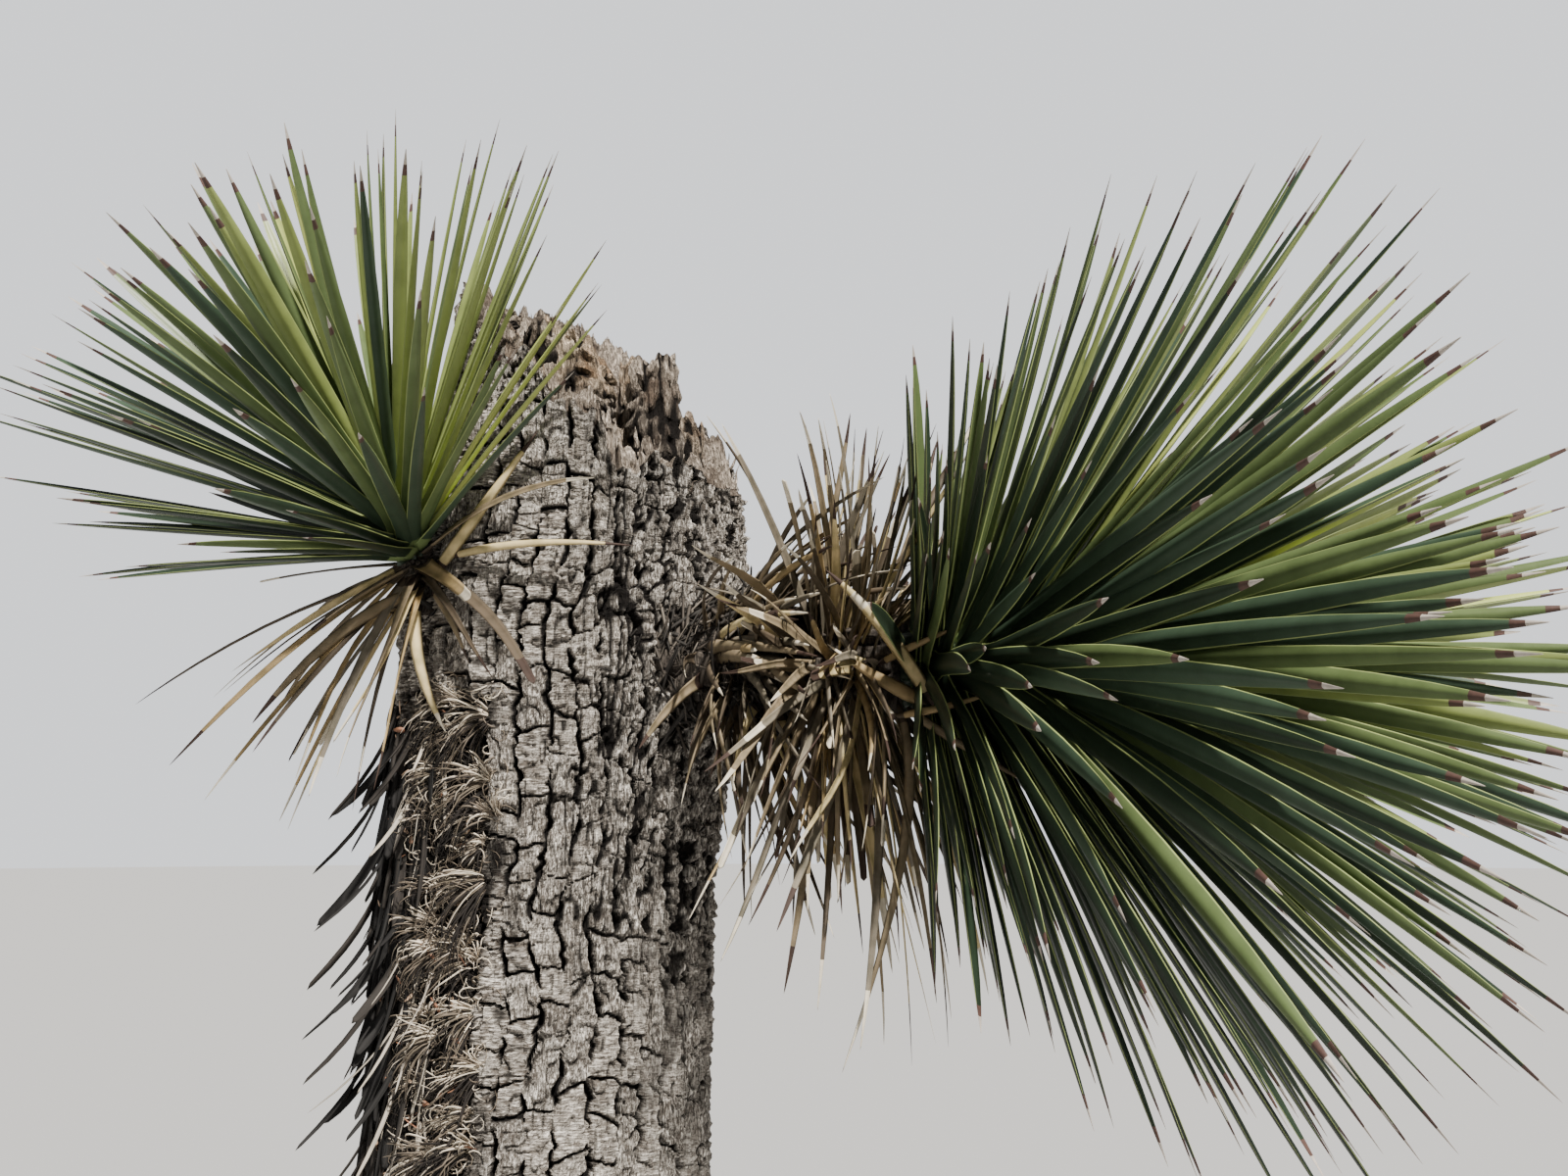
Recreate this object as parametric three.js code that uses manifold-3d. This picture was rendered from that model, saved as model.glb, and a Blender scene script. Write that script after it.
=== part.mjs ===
// A joshua tree whose trunk has snapped off above head height. A small green rosette grows
// from the left of the trunk on a short spur. On the right a bough carries a zone of dead
// leaves and a large green rosette. A strip of old leaf bases clings to the left flank.
// Millimetres, +Z up, +X to the right, -Y to the front, origin in the flat cut at the ground.

import * as THREE from 'three';
import Module from 'manifold-3d';

const wasm = await Module();
wasm.setup();
const { Manifold, Mesh } = wasm;

const { lerp, clamp, smoothstep, degToRad } = THREE.MathUtils;
const UP = new THREE.Vector3(0, 0, 1);
const FULL_TURN = 2 * Math.PI;
const GOLDEN_ANGLE = degToRad(137.508);

// Clearance that touching pieces keep
const GAP = 0.3;
// Edges that a join leaves shorter than this are merged away
const JOIN_TOLERANCE = 0.4;

// The trunk, from its flared foot to the break
const TRUNK = {
  sides: 32,
  footRadius: 174,
  lowerRadius: 134,
  chestRadius: 116,
  topRadius: 97,
  flareFade: 120,
  rootLobes: 6,
  rootLobeShare: 0.3,
  rootLobeTurn: 0.6,
  chestHeight: 1500,
  shoulderHeight: 1700,
  topHeight: 1935,
  lean: degToRad(1),
  topShift: 0.05,
  collarAngle: degToRad(-12),
  collarWidth: degToRad(45),
  collarBulge: 24,
  collarLow: 1500,
  collarHigh: 1690,
  unevenness: 2.5,
  longWave: 170,
  shortWave: 90,
  shortWaveShare: 0.6,
  lowerRings: 12,
  lowerRingSpread: 1.6,
  upperStart: 1560,
  upperRings: 6,
};

// The broken top: highest at the back left, falling to the front and to the right
const BREAK = {
  highest: 1952,
  middle: 1932,
  slopeRight: 0.75,
  slopeFront: 0.5,
  crag: 9,
  cragSpans: [9.1, 7.7],
  splinterSpans: [3.7, 3.2],
  splinterShare: 0.6,
  sunkCentre: 30,
  innerRings: [0.8, 0.52, 0.24],
};

// The bough that leaves the trunk at the front right and bends to the right
const BOUGH = {
  path: [[92, -38, 1666], [138, -68, 1662], [170, -90, 1659], [197, -106, 1657]],
  rootRadius: 56,
  tipRadius: 33,
  sides: 14,
  steps: 6,
};

// The spur that carries the left rosette
const SPUR = {
  root: [-38, -62, 1686],
  direction: [-0.395, -0.405, 0.825],
  length: 42,
  rootRadius: 23,
  tipRadius: 17,
  sides: 12,
  steps: 2,
};

const spurDirection = new THREE.Vector3(...SPUR.direction).normalize();
const spurTip = new THREE.Vector3(...SPUR.root).addScaledVector(spurDirection, SPUR.length);
const boughTip = new THREE.Vector3(...BOUGH.path[BOUGH.path.length - 1]);
const deadZoneEnd = new THREE.Vector3(276, -143, 1650);
const rightCrownTip = new THREE.Vector3(398, -172, 1653);

// Each mass of leaves grows in a spiral round its own stem, from the oldest leaf at the
// stem's foot to the youngest at its tip. Lean is measured from the stem's direction, and
// no leaf reaches farther to the left than the mass's left limit.
const MASSES = {
  right_rosette: {
    from: deadZoneEnd,
    to: rightCrownTip,
    stemRadius: 29,
    domed: true,
    leaves: 190,
    leafLength: 356,
    leafWidth: 13.5,
    lengthSpread: 0.09,
    youngShare: 0.86,
    oldShare: 0.52,
    youngLean: degToRad(3),
    oldLean: degToRad(82),
    leanSpread: degToRad(5),
    turnSpread: degToRad(8),
    recurve: -0.03,
    droop: 0.035,
    bendSpread: 0.03,
    leftLimit: -Infinity,
    seed: 4100,
    colour: 0x5f7a3a,
  },
  left_rosette: {
    from: spurTip.clone().addScaledVector(spurDirection, 18),
    to: spurTip.clone().addScaledVector(spurDirection, 62),
    stemRadius: 15,
    domed: true,
    leaves: 84,
    leafLength: 281,
    leafWidth: 11,
    lengthSpread: 0.06,
    youngShare: 0.88,
    oldShare: 0.74,
    youngLean: degToRad(3),
    oldLean: degToRad(66),
    leanSpread: degToRad(4),
    turnSpread: degToRad(8),
    recurve: -0.02,
    droop: 0.0,
    bendSpread: 0.025,
    leftLimit: -Infinity,
    seed: 9200,
    colour: 0x66824a,
  },
  right_dead_leaves: {
    from: boughTip,
    to: deadZoneEnd,
    stemRadius: 31,
    domed: false,
    leaves: 100,
    leafLength: 180,
    leafWidth: 10,
    lengthSpread: 0.25,
    youngShare: 1.1,
    oldShare: 0.8,
    youngLean: degToRad(40),
    oldLean: degToRad(100),
    leanSpread: degToRad(17),
    turnSpread: degToRad(20),
    recurve: -0.06,
    droop: 0.09,
    bendSpread: 0.12,
    leftLimit: 138,
    seed: 7300,
    colour: 0x9a7b4f,
  },
  left_dead_leaves: {
    from: spurTip,
    to: spurTip.clone().addScaledVector(spurDirection, 18),
    stemRadius: 16,
    domed: false,
    leaves: 32,
    leafLength: 165,
    leafWidth: 9,
    lengthSpread: 0.3,
    youngShare: 1,
    oldShare: 1,
    youngLean: degToRad(70),
    oldLean: degToRad(122),
    leanSpread: degToRad(20),
    turnSpread: degToRad(25),
    recurve: -0.05,
    droop: 0.16,
    bendSpread: 0.1,
    leftLimit: -Infinity,
    seed: 5500,
    colour: 0xb29a6a,
  },
};

// The stem inside a mass: places along it with their share of its radius
const STEM = {
  sides: 8,
  domedStations: [[0, 1], [0.7, 0.9], [0.94, 0.45]],
  plainStations: [[0, 1], [1, 0.97]],
};

// How leaves are shaped and how far apart they stay
const LEAF = {
  firstPlace: 0.04,
  lastPlace: 0.93,
  rootDepthShare: 0.35,
  shallowAge: 0.33,
  fullLengthYouth: 0.5,
  shorterYouth: 0.5,
  stations: [0, 0.42],
  widthShares: [0.5, 1],
  thicknessShare: 0.42,
  ridgeShare: 0.3,
  samples: 12,
  tries: 6,
  rootShare: 0.3,
  sameMassClearance: 5,
  otherMassClearance: 14,
  limbClearance: 9,
};

// The strip of old leaf bases down the left flank: patches with short hanging remnants
const STRIP = {
  fromAngle: degToRad(176),
  toAngle: degToRad(252),
  edgeWander: degToRad(5),
  columns: 6,
  rows: 6,
  standOff: 0.8,
  edgeThickness: 2,
  thickness: 8,
  roughness: 3,
  remnants: 16,
  remnantLength: 44,
  remnantWidth: 7,
  lengthSpread: 0.35,
  outward: 0.55,
  outwardSpread: 0.25,
  sideSpread: 0.3,
  rootShare: 0.6,
  hang: 0.15,
  endMargin: 0.06,
  colour: 0x8d857a,
};
const STRIP_PATCHES = [
  { name: 'leaf_base_strip_upper', low: 1372, high: 1655, seed: 311 },
  { name: 'leaf_base_strip_middle', low: 1062, high: 1371, seed: 322 },
  { name: 'leaf_base_strip_lower', low: 700, high: 1061, seed: 333 },
];

const WOOD_COLOUR = 0x7d7265;

// A small repeatable generator of numbers from 0 to 1
function seededRandom(seed) {
  let state = seed >>> 0;
  return () => {
    state = (state + 0x6d2b79f5) >>> 0;
    let mixed = state;
    mixed = Math.imul(mixed ^ (mixed >>> 15), mixed | 1);
    mixed ^= mixed + Math.imul(mixed ^ (mixed >>> 7), mixed | 61);
    return ((mixed ^ (mixed >>> 14)) >>> 0) / 4294967296;
  };
}

// A closed solid through rings of equal count, pinched to a point at both ends
function loft(startPoint, rings, endPoint) {
  const sides = rings[0].length;
  const points = [startPoint, ...rings.flat(), endPoint];
  const last = points.length - 1;
  const faces = [];
  for (let side = 0; side < sides; side += 1) {
    const next = (side + 1) % sides;
    faces.push([0, 1 + next, 1 + side]);
    for (let ring = 0; ring < rings.length - 1; ring += 1) {
      const low = 1 + ring * sides;
      const high = low + sides;
      faces.push([low + side, low + next, high + side]);
      faces.push([low + next, high + next, high + side]);
    }
    const top = 1 + (rings.length - 1) * sides;
    faces.push([top + side, top + next, last]);
  }
  return solidFromFaces(points, faces);
}

function signedVolume(points, faces) {
  const cross = new THREE.Vector3();
  let total = 0;
  for (const [a, b, c] of faces) {
    total += cross.crossVectors(points[b], points[c]).dot(points[a]);
  }
  return total / 6;
}

function solidFromFaces(points, faces) {
  const facesOut = signedVolume(points, faces) < 0 ? faces.map(([a, b, c]) => [a, c, b]) : faces;
  const vertProperties = new Float32Array(points.flatMap((point) => point.toArray()));
  const triVerts = new Uint32Array(facesOut.flat());
  return new Manifold(new Mesh({ numProp: 3, vertProperties, triVerts }));
}

function centreOf(ring) {
  const centre = new THREE.Vector3();
  for (const point of ring) centre.add(point);
  return centre.divideScalar(ring.length);
}

// A named mesh whose geometry is measured from its own place on the tree
function meshFromSolid(name, solid, colour, place) {
  const { vertProperties, triVerts } = solid.getMesh();
  const geometry = new THREE.BufferGeometry();
  geometry.setAttribute('position', new THREE.BufferAttribute(vertProperties, 3));
  geometry.setIndex(new THREE.BufferAttribute(triVerts, 1));
  geometry.translate(-place.x, -place.y, -place.z);
  geometry.computeVertexNormals();
  const material = new THREE.MeshStandardMaterial({ color: colour, roughness: 0.8, metalness: 0 });
  const mesh = new THREE.Mesh(geometry, material);
  mesh.name = name;
  mesh.position.copy(place);
  return mesh;
}

// Parts joined, then cut clear of what stands beside them
function joinedBody(parts, neighbours) {
  const joined = Manifold.union(parts).simplify(JOIN_TOLERANCE);
  const cut = neighbours.reduce((solid, other) => solid.subtract(other), joined);
  return largestBody(cut);
}

// The largest body of a join, without loose scraps or sealed hollows
function largestBody(solid) {
  const bodies = solid.decompose();
  bodies.sort((a, b) => b.volume() - a.volume());
  return bodies[0];
}

// Trunk

function trunkAxis(height) {
  const overShoulder = Math.max(0, height - TRUNK.shoulderHeight);
  const x = height * Math.tan(TRUNK.lean) + overShoulder * TRUNK.topShift;
  return new THREE.Vector3(x, 0, height);
}

function angleBetween(first, second) {
  const turn = (first - second) % FULL_TURN;
  return Math.abs(turn > Math.PI ? turn - FULL_TURN : turn < -Math.PI ? turn + FULL_TURN : turn);
}

function trunkRadius(height, angle) {
  const rise = clamp(height / TRUNK.chestHeight, 0, 1);
  const below = lerp(TRUNK.lowerRadius, TRUNK.chestRadius, rise);
  const narrowing = smoothstep(height, TRUNK.shoulderHeight, TRUNK.topHeight);
  const taper = lerp(below, TRUNK.topRadius, narrowing);

  const flare = (TRUNK.footRadius - TRUNK.lowerRadius) * Math.exp(-height / TRUNK.flareFade);
  const lobes = 1 + TRUNK.rootLobeShare * Math.cos(TRUNK.rootLobes * angle + TRUNK.rootLobeTurn);

  const fromCollar = angleBetween(angle, TRUNK.collarAngle) / TRUNK.collarWidth;
  const collarRise = smoothstep(height, TRUNK.collarLow, TRUNK.collarHigh);
  const collar = TRUNK.collarBulge * collarRise * Math.exp(-fromCollar * fromCollar);

  const longWaves = Math.sin(3 * angle + height / TRUNK.longWave);
  const shortWaves = TRUNK.shortWaveShare * Math.sin(5 * angle - height / TRUNK.shortWave);
  const waves = longWaves + shortWaves;
  return taper + flare * lobes + collar + TRUNK.unevenness * waves;
}

function trunkPoint(height, angle, extra) {
  const radius = trunkRadius(height, angle) + extra;
  const offset = new THREE.Vector3(Math.cos(angle) * radius, Math.sin(angle) * radius, 0);
  return trunkAxis(height).add(offset);
}

// Height of the broken surface over a point of the plan
function breakHeight(x, y) {
  const slope = BREAK.middle - BREAK.slopeRight * x + BREAK.slopeFront * y;
  const [cragX, cragY] = BREAK.cragSpans;
  const [splinterX, splinterY] = BREAK.splinterSpans;
  const crags = Math.sin(x / cragX + 1) * Math.sin(y / cragY + 2);
  const splinters = Math.sin(x / splinterX) * Math.sin(y / splinterY + 1);
  const roughness = crags + BREAK.splinterShare * splinters;
  return Math.min(BREAK.highest, slope) + BREAK.crag * roughness;
}

function rimHeight(angle) {
  const { x, y } = trunkPoint(TRUNK.topHeight, angle, 0);
  return breakHeight(x, y);
}

function trunkRing(heightAt, extra) {
  const ring = [];
  for (let side = 0; side < TRUNK.sides; side += 1) {
    const angle = (side / TRUNK.sides) * FULL_TURN;
    ring.push(trunkPoint(heightAt(angle), angle, extra));
  }
  return ring;
}

function trunkSolid(extra) {
  const rings = [];
  for (let step = 0; step < TRUNK.lowerRings; step += 1) {
    const share = (step / TRUNK.lowerRings) ** TRUNK.lowerRingSpread;
    rings.push(trunkRing(() => TRUNK.upperStart * share, extra));
  }
  for (let step = 0; step <= TRUNK.upperRings; step += 1) {
    const share = step / TRUNK.upperRings;
    rings.push(trunkRing((angle) => lerp(TRUNK.upperStart, rimHeight(angle), share), extra));
  }
  const rim = rings[rings.length - 1];
  const middle = trunkAxis(TRUNK.topHeight);
  const sunkPoint = (share, edge) => {
    const x = lerp(middle.x, edge.x, share);
    const y = lerp(middle.y, edge.y, share);
    const sunk = BREAK.sunkCentre * (1 - share * share);
    return new THREE.Vector3(x, y, breakHeight(x, y) - sunk + extra);
  };
  for (const share of BREAK.innerRings) rings.push(rim.map((edge) => sunkPoint(share, edge)));
  return loft(trunkAxis(0), rings, sunkPoint(0, middle));
}

// Limbs and stems: round rods that taper along a path

function crossFrame(direction) {
  const across = new THREE.Vector3().crossVectors(direction, UP).normalize();
  const second = new THREE.Vector3().crossVectors(direction, across);
  return [across, second];
}

function rodRing(centre, direction, radius, sides) {
  const [across, second] = crossFrame(direction);
  const ring = [];
  for (let side = 0; side < sides; side += 1) {
    const turn = (side / sides) * FULL_TURN;
    const point = centre.clone().addScaledVector(across, radius * Math.cos(turn));
    ring.push(point.addScaledVector(second, radius * Math.sin(turn)));
  }
  return ring;
}

function taperedRod(curve, rootRadius, tipRadius, sides, steps) {
  const rings = [];
  for (let step = 0; step <= steps; step += 1) {
    const share = step / steps;
    const radius = lerp(rootRadius, tipRadius, share);
    rings.push(rodRing(curve.getPoint(share), curve.getTangent(share), radius, sides));
  }
  return loft(curve.getPoint(0), rings, curve.getPoint(1));
}

function boughCurve() {
  return new THREE.CatmullRomCurve3(BOUGH.path.map((point) => new THREE.Vector3(...point)));
}

function boughSolid(extra) {
  const { rootRadius, tipRadius, sides, steps } = BOUGH;
  return taperedRod(boughCurve(), rootRadius + extra, tipRadius + extra, sides, steps);
}

function spurSolid(extra) {
  const root = new THREE.Vector3(...SPUR.root);
  const { rootRadius, tipRadius, sides, steps } = SPUR;
  const line = new THREE.LineCurve3(root, spurTip);
  return taperedRod(line, rootRadius + extra, tipRadius + extra, sides, steps);
}

// A mass's stem starts clear of what carries it
function stemSolid(mass, extra) {
  const along = new THREE.Vector3().subVectors(mass.to, mass.from);
  const length = along.length();
  const direction = along.normalize();
  const radius = mass.stemRadius + extra;
  const stations = mass.domed ? STEM.domedStations : STEM.plainStations;
  const placeAt = (share) => {
    const distance = clamp(share * length, GAP - extra, length + extra);
    return mass.from.clone().addScaledVector(direction, distance);
  };
  const rings = stations.map(([share, width]) => (
    rodRing(placeAt(share), direction, radius * width, STEM.sides)
  ));
  return loft(placeAt(0), rings, placeAt(1));
}

// Leaves

// One leaf as a bent line with its own frame: root, direction, bend, width and length
function leafLine(mass, index, attempt) {
  const random = seededRandom(mass.seed + index * 16 + attempt);
  const spread = (amount) => (random() * 2 - 1) * amount;
  const youth = index / (mass.leaves - 1);
  const age = 1 - youth;

  const along = new THREE.Vector3().subVectors(mass.to, mass.from);
  const stemLength = along.length();
  const axis = along.normalize();
  const [across, second] = crossFrame(axis);
  const turn = index * GOLDEN_ANGLE + spread(mass.turnSpread);
  const radial = across.clone().multiplyScalar(Math.cos(turn)).addScaledVector(second, Math.sin(turn));

  const evenLean = Math.acos(lerp(Math.cos(mass.youngLean), Math.cos(mass.oldLean), age));
  const lean = evenLean + spread(mass.leanSpread);
  const direction = axis.clone().multiplyScalar(Math.cos(lean)).addScaledVector(radial, Math.sin(lean));
  const inward = axis.clone().multiplyScalar(Math.sin(lean)).addScaledVector(radial, -Math.cos(lean));
  const sideways = new THREE.Vector3().crossVectors(direction, inward);

  const grownShare = lerp(mass.oldShare, 1, smoothstep(youth, 0, LEAF.fullLengthYouth));
  const youngShare = lerp(1, mass.youngShare, smoothstep(youth, LEAF.shorterYouth, 1));
  const length = mass.leafLength * grownShare * youngShare * (1 + spread(mass.lengthSpread));
  const bend = inward.clone().multiplyScalar(mass.recurve + spread(mass.bendSpread));
  bend.addScaledVector(sideways, spread(mass.bendSpread)).addScaledVector(UP, -mass.droop);

  const offAxis = mass.stemRadius * LEAF.rootDepthShare * Math.min(1, age / LEAF.shallowAge);
  const height = stemLength * lerp(LEAF.firstPlace, LEAF.lastPlace, youth);
  const root = mass.from.clone().addScaledVector(axis, height).addScaledVector(radial, offAxis);
  return { root, direction, inward, sideways, bend, length, width: mass.leafWidth };
}

function leafPoint(leaf, share) {
  const point = leaf.root.clone().addScaledVector(leaf.direction, leaf.length * share);
  return point.addScaledVector(leaf.bend, leaf.length * share * share);
}

// A three-sided spike, flat towards the tip of the stem and keeled behind
function leafSolid(leaf) {
  const rings = LEAF.stations.map((share, station) => {
    const centre = leafPoint(leaf, share);
    const half = (leaf.width * LEAF.widthShares[station]) / 2;
    const left = centre.clone().addScaledVector(leaf.sideways, half);
    const right = centre.clone().addScaledVector(leaf.sideways, -half);
    const thickness = leaf.width * LEAF.thicknessShare;
    left.addScaledVector(leaf.inward, thickness * LEAF.ridgeShare);
    right.addScaledVector(leaf.inward, thickness * LEAF.ridgeShare);
    const keel = centre.clone().addScaledVector(leaf.inward, thickness * (LEAF.ridgeShare - 1));
    return [left, keel, right];
  });
  return loft(centreOf(rings[0]), rings, leafPoint(leaf, 1));
}

function leafSamples(leaf) {
  const samples = [];
  for (let step = 0; step <= LEAF.samples; step += 1) {
    samples.push(leafPoint(leaf, step / LEAF.samples));
  }
  return samples;
}

function nearestSquared(firstPoints, secondPoints) {
  let nearest = Infinity;
  for (const first of firstPoints) {
    for (let step = 0; step < secondPoints.length - 1; step += 1) {
      nearest = Math.min(nearest, segmentDistanceSquared(first, secondPoints[step], secondPoints[step + 1]));
    }
  }
  return nearest;
}

function segmentDistanceSquared(point, start, end) {
  const run = new THREE.Vector3().subVectors(end, start);
  const reach = new THREE.Vector3().subVectors(point, start);
  const share = clamp(reach.dot(run) / run.lengthSq(), 0, 1);
  return reach.addScaledVector(run, -share).lengthSq();
}

// True where every sample stays clear of the trunk
function clearOfTrunk(samples) {
  return samples.every((point) => {
    const axis = trunkAxis(point.z);
    const outward = Math.hypot(point.x - axis.x, point.y - axis.y);
    const angle = Math.atan2(point.y - axis.y, point.x - axis.x);
    const beside = outward > trunkRadius(point.z, angle) + LEAF.limbClearance;
    return beside || point.z > breakHeight(point.x, point.y) + LEAF.limbClearance;
  });
}

function clearOfRods(samples, rods) {
  return rods.every(({ line, radius }) => {
    const clearance = radius + LEAF.limbClearance;
    return nearestSquared(samples, line) > clearance * clearance;
  });
}

function growLeaves(mass, rods, otherLeaves) {
  const grown = [];
  const firstFree = Math.ceil(LEAF.samples * LEAF.rootShare);
  for (let index = 0; index < mass.leaves; index += 1) {
    for (let attempt = 0; attempt < LEAF.tries; attempt += 1) {
      const leaf = leafLine(mass, index, attempt);
      const samples = leafSamples(leaf);
      const free = samples.slice(firstFree);
      const apart = (others, clearance) => others.every((other) => (
        nearestSquared(free, other) > clearance * clearance
      ));
      const clear = samples.every(({ x }) => x > mass.leftLimit)
        && clearOfTrunk(samples.slice(1))
        && clearOfRods(samples.slice(2), rods)
        && apart(grown.map((other) => other.free), LEAF.sameMassClearance)
        && otherLeaves.every((other) => (
          nearestSquared(samples.slice(1), other.samples) > LEAF.otherMassClearance ** 2
        ));
      if (clear) {
        grown.push({ leaf, samples, free });
        break;
      }
    }
  }
  return grown;
}

function massSolid(mass, grown, neighbours) {
  const parts = [stemSolid(mass, 0), ...grown.map(({ leaf }) => leafSolid(leaf))];
  return joinedBody(parts, neighbours);
}

// The strip of old leaf bases

function stripPatch({ low, high, seed }) {
  const random = seededRandom(seed);
  const inner = [];
  const outer = [];
  for (let row = 0; row <= STRIP.rows; row += 1) {
    const onEnd = row === 0 || row === STRIP.rows;
    const frontEdge = STRIP.toAngle + (onEnd ? 0 : (random() * 2 - 1) * STRIP.edgeWander);
    for (let column = 0; column <= STRIP.columns; column += 1) {
      const across = column / STRIP.columns;
      const rise = row / STRIP.rows;
      const angle = lerp(STRIP.fromAngle, frontEdge, across);
      const height = lerp(low, high, rise);
      const inside = Math.sqrt(Math.sin(Math.PI * across));
      const onEdge = onEnd || column === 0 || column === STRIP.columns;
      const full = STRIP.thickness * inside + (random() * 2 - 1) * STRIP.roughness;
      const thickness = onEdge ? STRIP.edgeThickness : Math.max(STRIP.edgeThickness, full);
      inner.push(trunkPoint(height, angle, STRIP.standOff));
      outer.push(trunkPoint(height, angle, STRIP.standOff + thickness));
    }
  }
  const points = [...inner, ...outer];
  const width = STRIP.columns + 1;
  const shift = inner.length;
  const faces = [];
  const addQuad = (a, b, c, d) => faces.push([a, b, c], [a, c, d]);
  for (let row = 0; row < STRIP.rows; row += 1) {
    for (let column = 0; column < STRIP.columns; column += 1) {
      const corner = row * width + column;
      addQuad(corner, corner + width, corner + width + 1, corner + 1);
      addQuad(corner + shift, corner + 1 + shift, corner + width + 1 + shift, corner + width + shift);
    }
  }
  const border = [];
  for (let column = 0; column < STRIP.columns; column += 1) border.push(column);
  for (let row = 0; row < STRIP.rows; row += 1) border.push(row * width + STRIP.columns);
  for (let column = STRIP.columns; column > 0; column -= 1) border.push(STRIP.rows * width + column);
  for (let row = STRIP.rows; row > 0; row -= 1) border.push(row * width);
  border.forEach((point, place) => {
    const next = border[(place + 1) % border.length];
    addQuad(point, next, next + shift, point + shift);
  });
  return solidFromFaces(points, faces);
}

// Old leaf remnants that stand out of a patch and hang
function stripRemnant({ low, high, seed }, index) {
  const random = seededRandom(seed * 64 + index);
  const spread = (amount) => (random() * 2 - 1) * amount;
  const across = lerp(STRIP.endMargin, 1 - STRIP.endMargin, random());
  const angle = lerp(STRIP.fromAngle, STRIP.toAngle, across);
  const height = lerp(low + STRIP.remnantLength, high, (index + 0.5) / STRIP.remnants);
  const outward = new THREE.Vector3(Math.cos(angle), Math.sin(angle), 0);
  const sideways = new THREE.Vector3(-Math.sin(angle), Math.cos(angle), 0);
  const direction = outward.clone().multiplyScalar(STRIP.outward + spread(STRIP.outwardSpread));
  direction.addScaledVector(sideways, spread(STRIP.sideSpread)).addScaledVector(UP, -1).normalize();
  const inward = new THREE.Vector3().crossVectors(sideways, direction).normalize();
  const flat = new THREE.Vector3().crossVectors(direction, inward);
  const root = trunkPoint(height, angle, STRIP.standOff + STRIP.edgeThickness * STRIP.rootShare);
  const length = STRIP.remnantLength * (1 + spread(STRIP.lengthSpread));
  const bend = UP.clone().multiplyScalar(-STRIP.hang);
  return { root, direction, inward, sideways: flat, bend, length, width: STRIP.remnantWidth };
}

function stripSolid(patch, grownTrunk) {
  const parts = [stripPatch(patch)];
  for (let index = 0; index < STRIP.remnants; index += 1) {
    parts.push(leafSolid(stripRemnant(patch, index)));
  }
  return joinedBody(parts, [grownTrunk]);
}

// The whole tree

function buildTree() {
  const tree = new THREE.Group();
  const origin = new THREE.Vector3();
  const grownTrunk = trunkSolid(GAP);
  tree.add(meshFromSolid('trunk', trunkSolid(0), WOOD_COLOUR, origin));

  const rightArm = new THREE.Group();
  const leftArm = new THREE.Group();
  const strip = new THREE.Group();
  tree.add(rightArm, leftArm, strip);

  const boughRoot = new THREE.Vector3(...BOUGH.path[0]);
  const spurRoot = new THREE.Vector3(...SPUR.root);
  const bough = joinedBody([boughSolid(0)], [grownTrunk]);
  const spur = joinedBody([spurSolid(0)], [grownTrunk]);
  rightArm.add(meshFromSolid('right_bough', bough, WOOD_COLOUR, boughRoot));
  leftArm.add(meshFromSolid('left_spur', spur, WOOD_COLOUR, spurRoot));

  const lineOf = (mass) => ({ line: [mass.from, mass.to], radius: mass.stemRadius });
  const boughRod = { line: boughCurve().getPoints(BOUGH.steps), radius: BOUGH.tipRadius };
  const spurRod = { line: [spurRoot, spurTip], radius: SPUR.tipRadius };
  const arms = [
    { group: rightArm, rod: boughRod, limb: boughSolid, live: 'right_rosette', dead: 'right_dead_leaves' },
    { group: leftArm, rod: spurRod, limb: spurSolid, live: 'left_rosette', dead: 'left_dead_leaves' },
  ];
  for (const arm of arms) {
    const live = MASSES[arm.live];
    const dead = MASSES[arm.dead];
    const liveLeaves = growLeaves(live, [arm.rod, lineOf(dead)], []);
    const deadLeaves = growLeaves(dead, [arm.rod, lineOf(live)], liveLeaves);
    const grownLimb = arm.limb(GAP);
    const liveSolid = massSolid(live, liveLeaves, [grownTrunk, stemSolid(dead, GAP)]);
    const deadSolid = massSolid(dead, deadLeaves, [grownTrunk, grownLimb, stemSolid(live, GAP)]);
    arm.group.add(meshFromSolid(arm.live, liveSolid, live.colour, live.from));
    arm.group.add(meshFromSolid(arm.dead, deadSolid, dead.colour, dead.from));
  }

  for (const patch of STRIP_PATCHES) {
    const place = trunkAxis(patch.low);
    strip.add(meshFromSolid(patch.name, stripSolid(patch, grownTrunk), STRIP.colour, place));
  }
  return tree;
}

export default buildTree();
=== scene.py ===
# A joshua tree whose trunk has snapped off above head height: cracked bark, broken wood,
# a small and a large rosette of stiff leaves, dead leaves and a strip of old leaf bases.
# Metres, +Z up, +X to the right, -Y to the front, origin in the flat cut at the ground.
import math
from types import SimpleNamespace as Sizes

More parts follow.
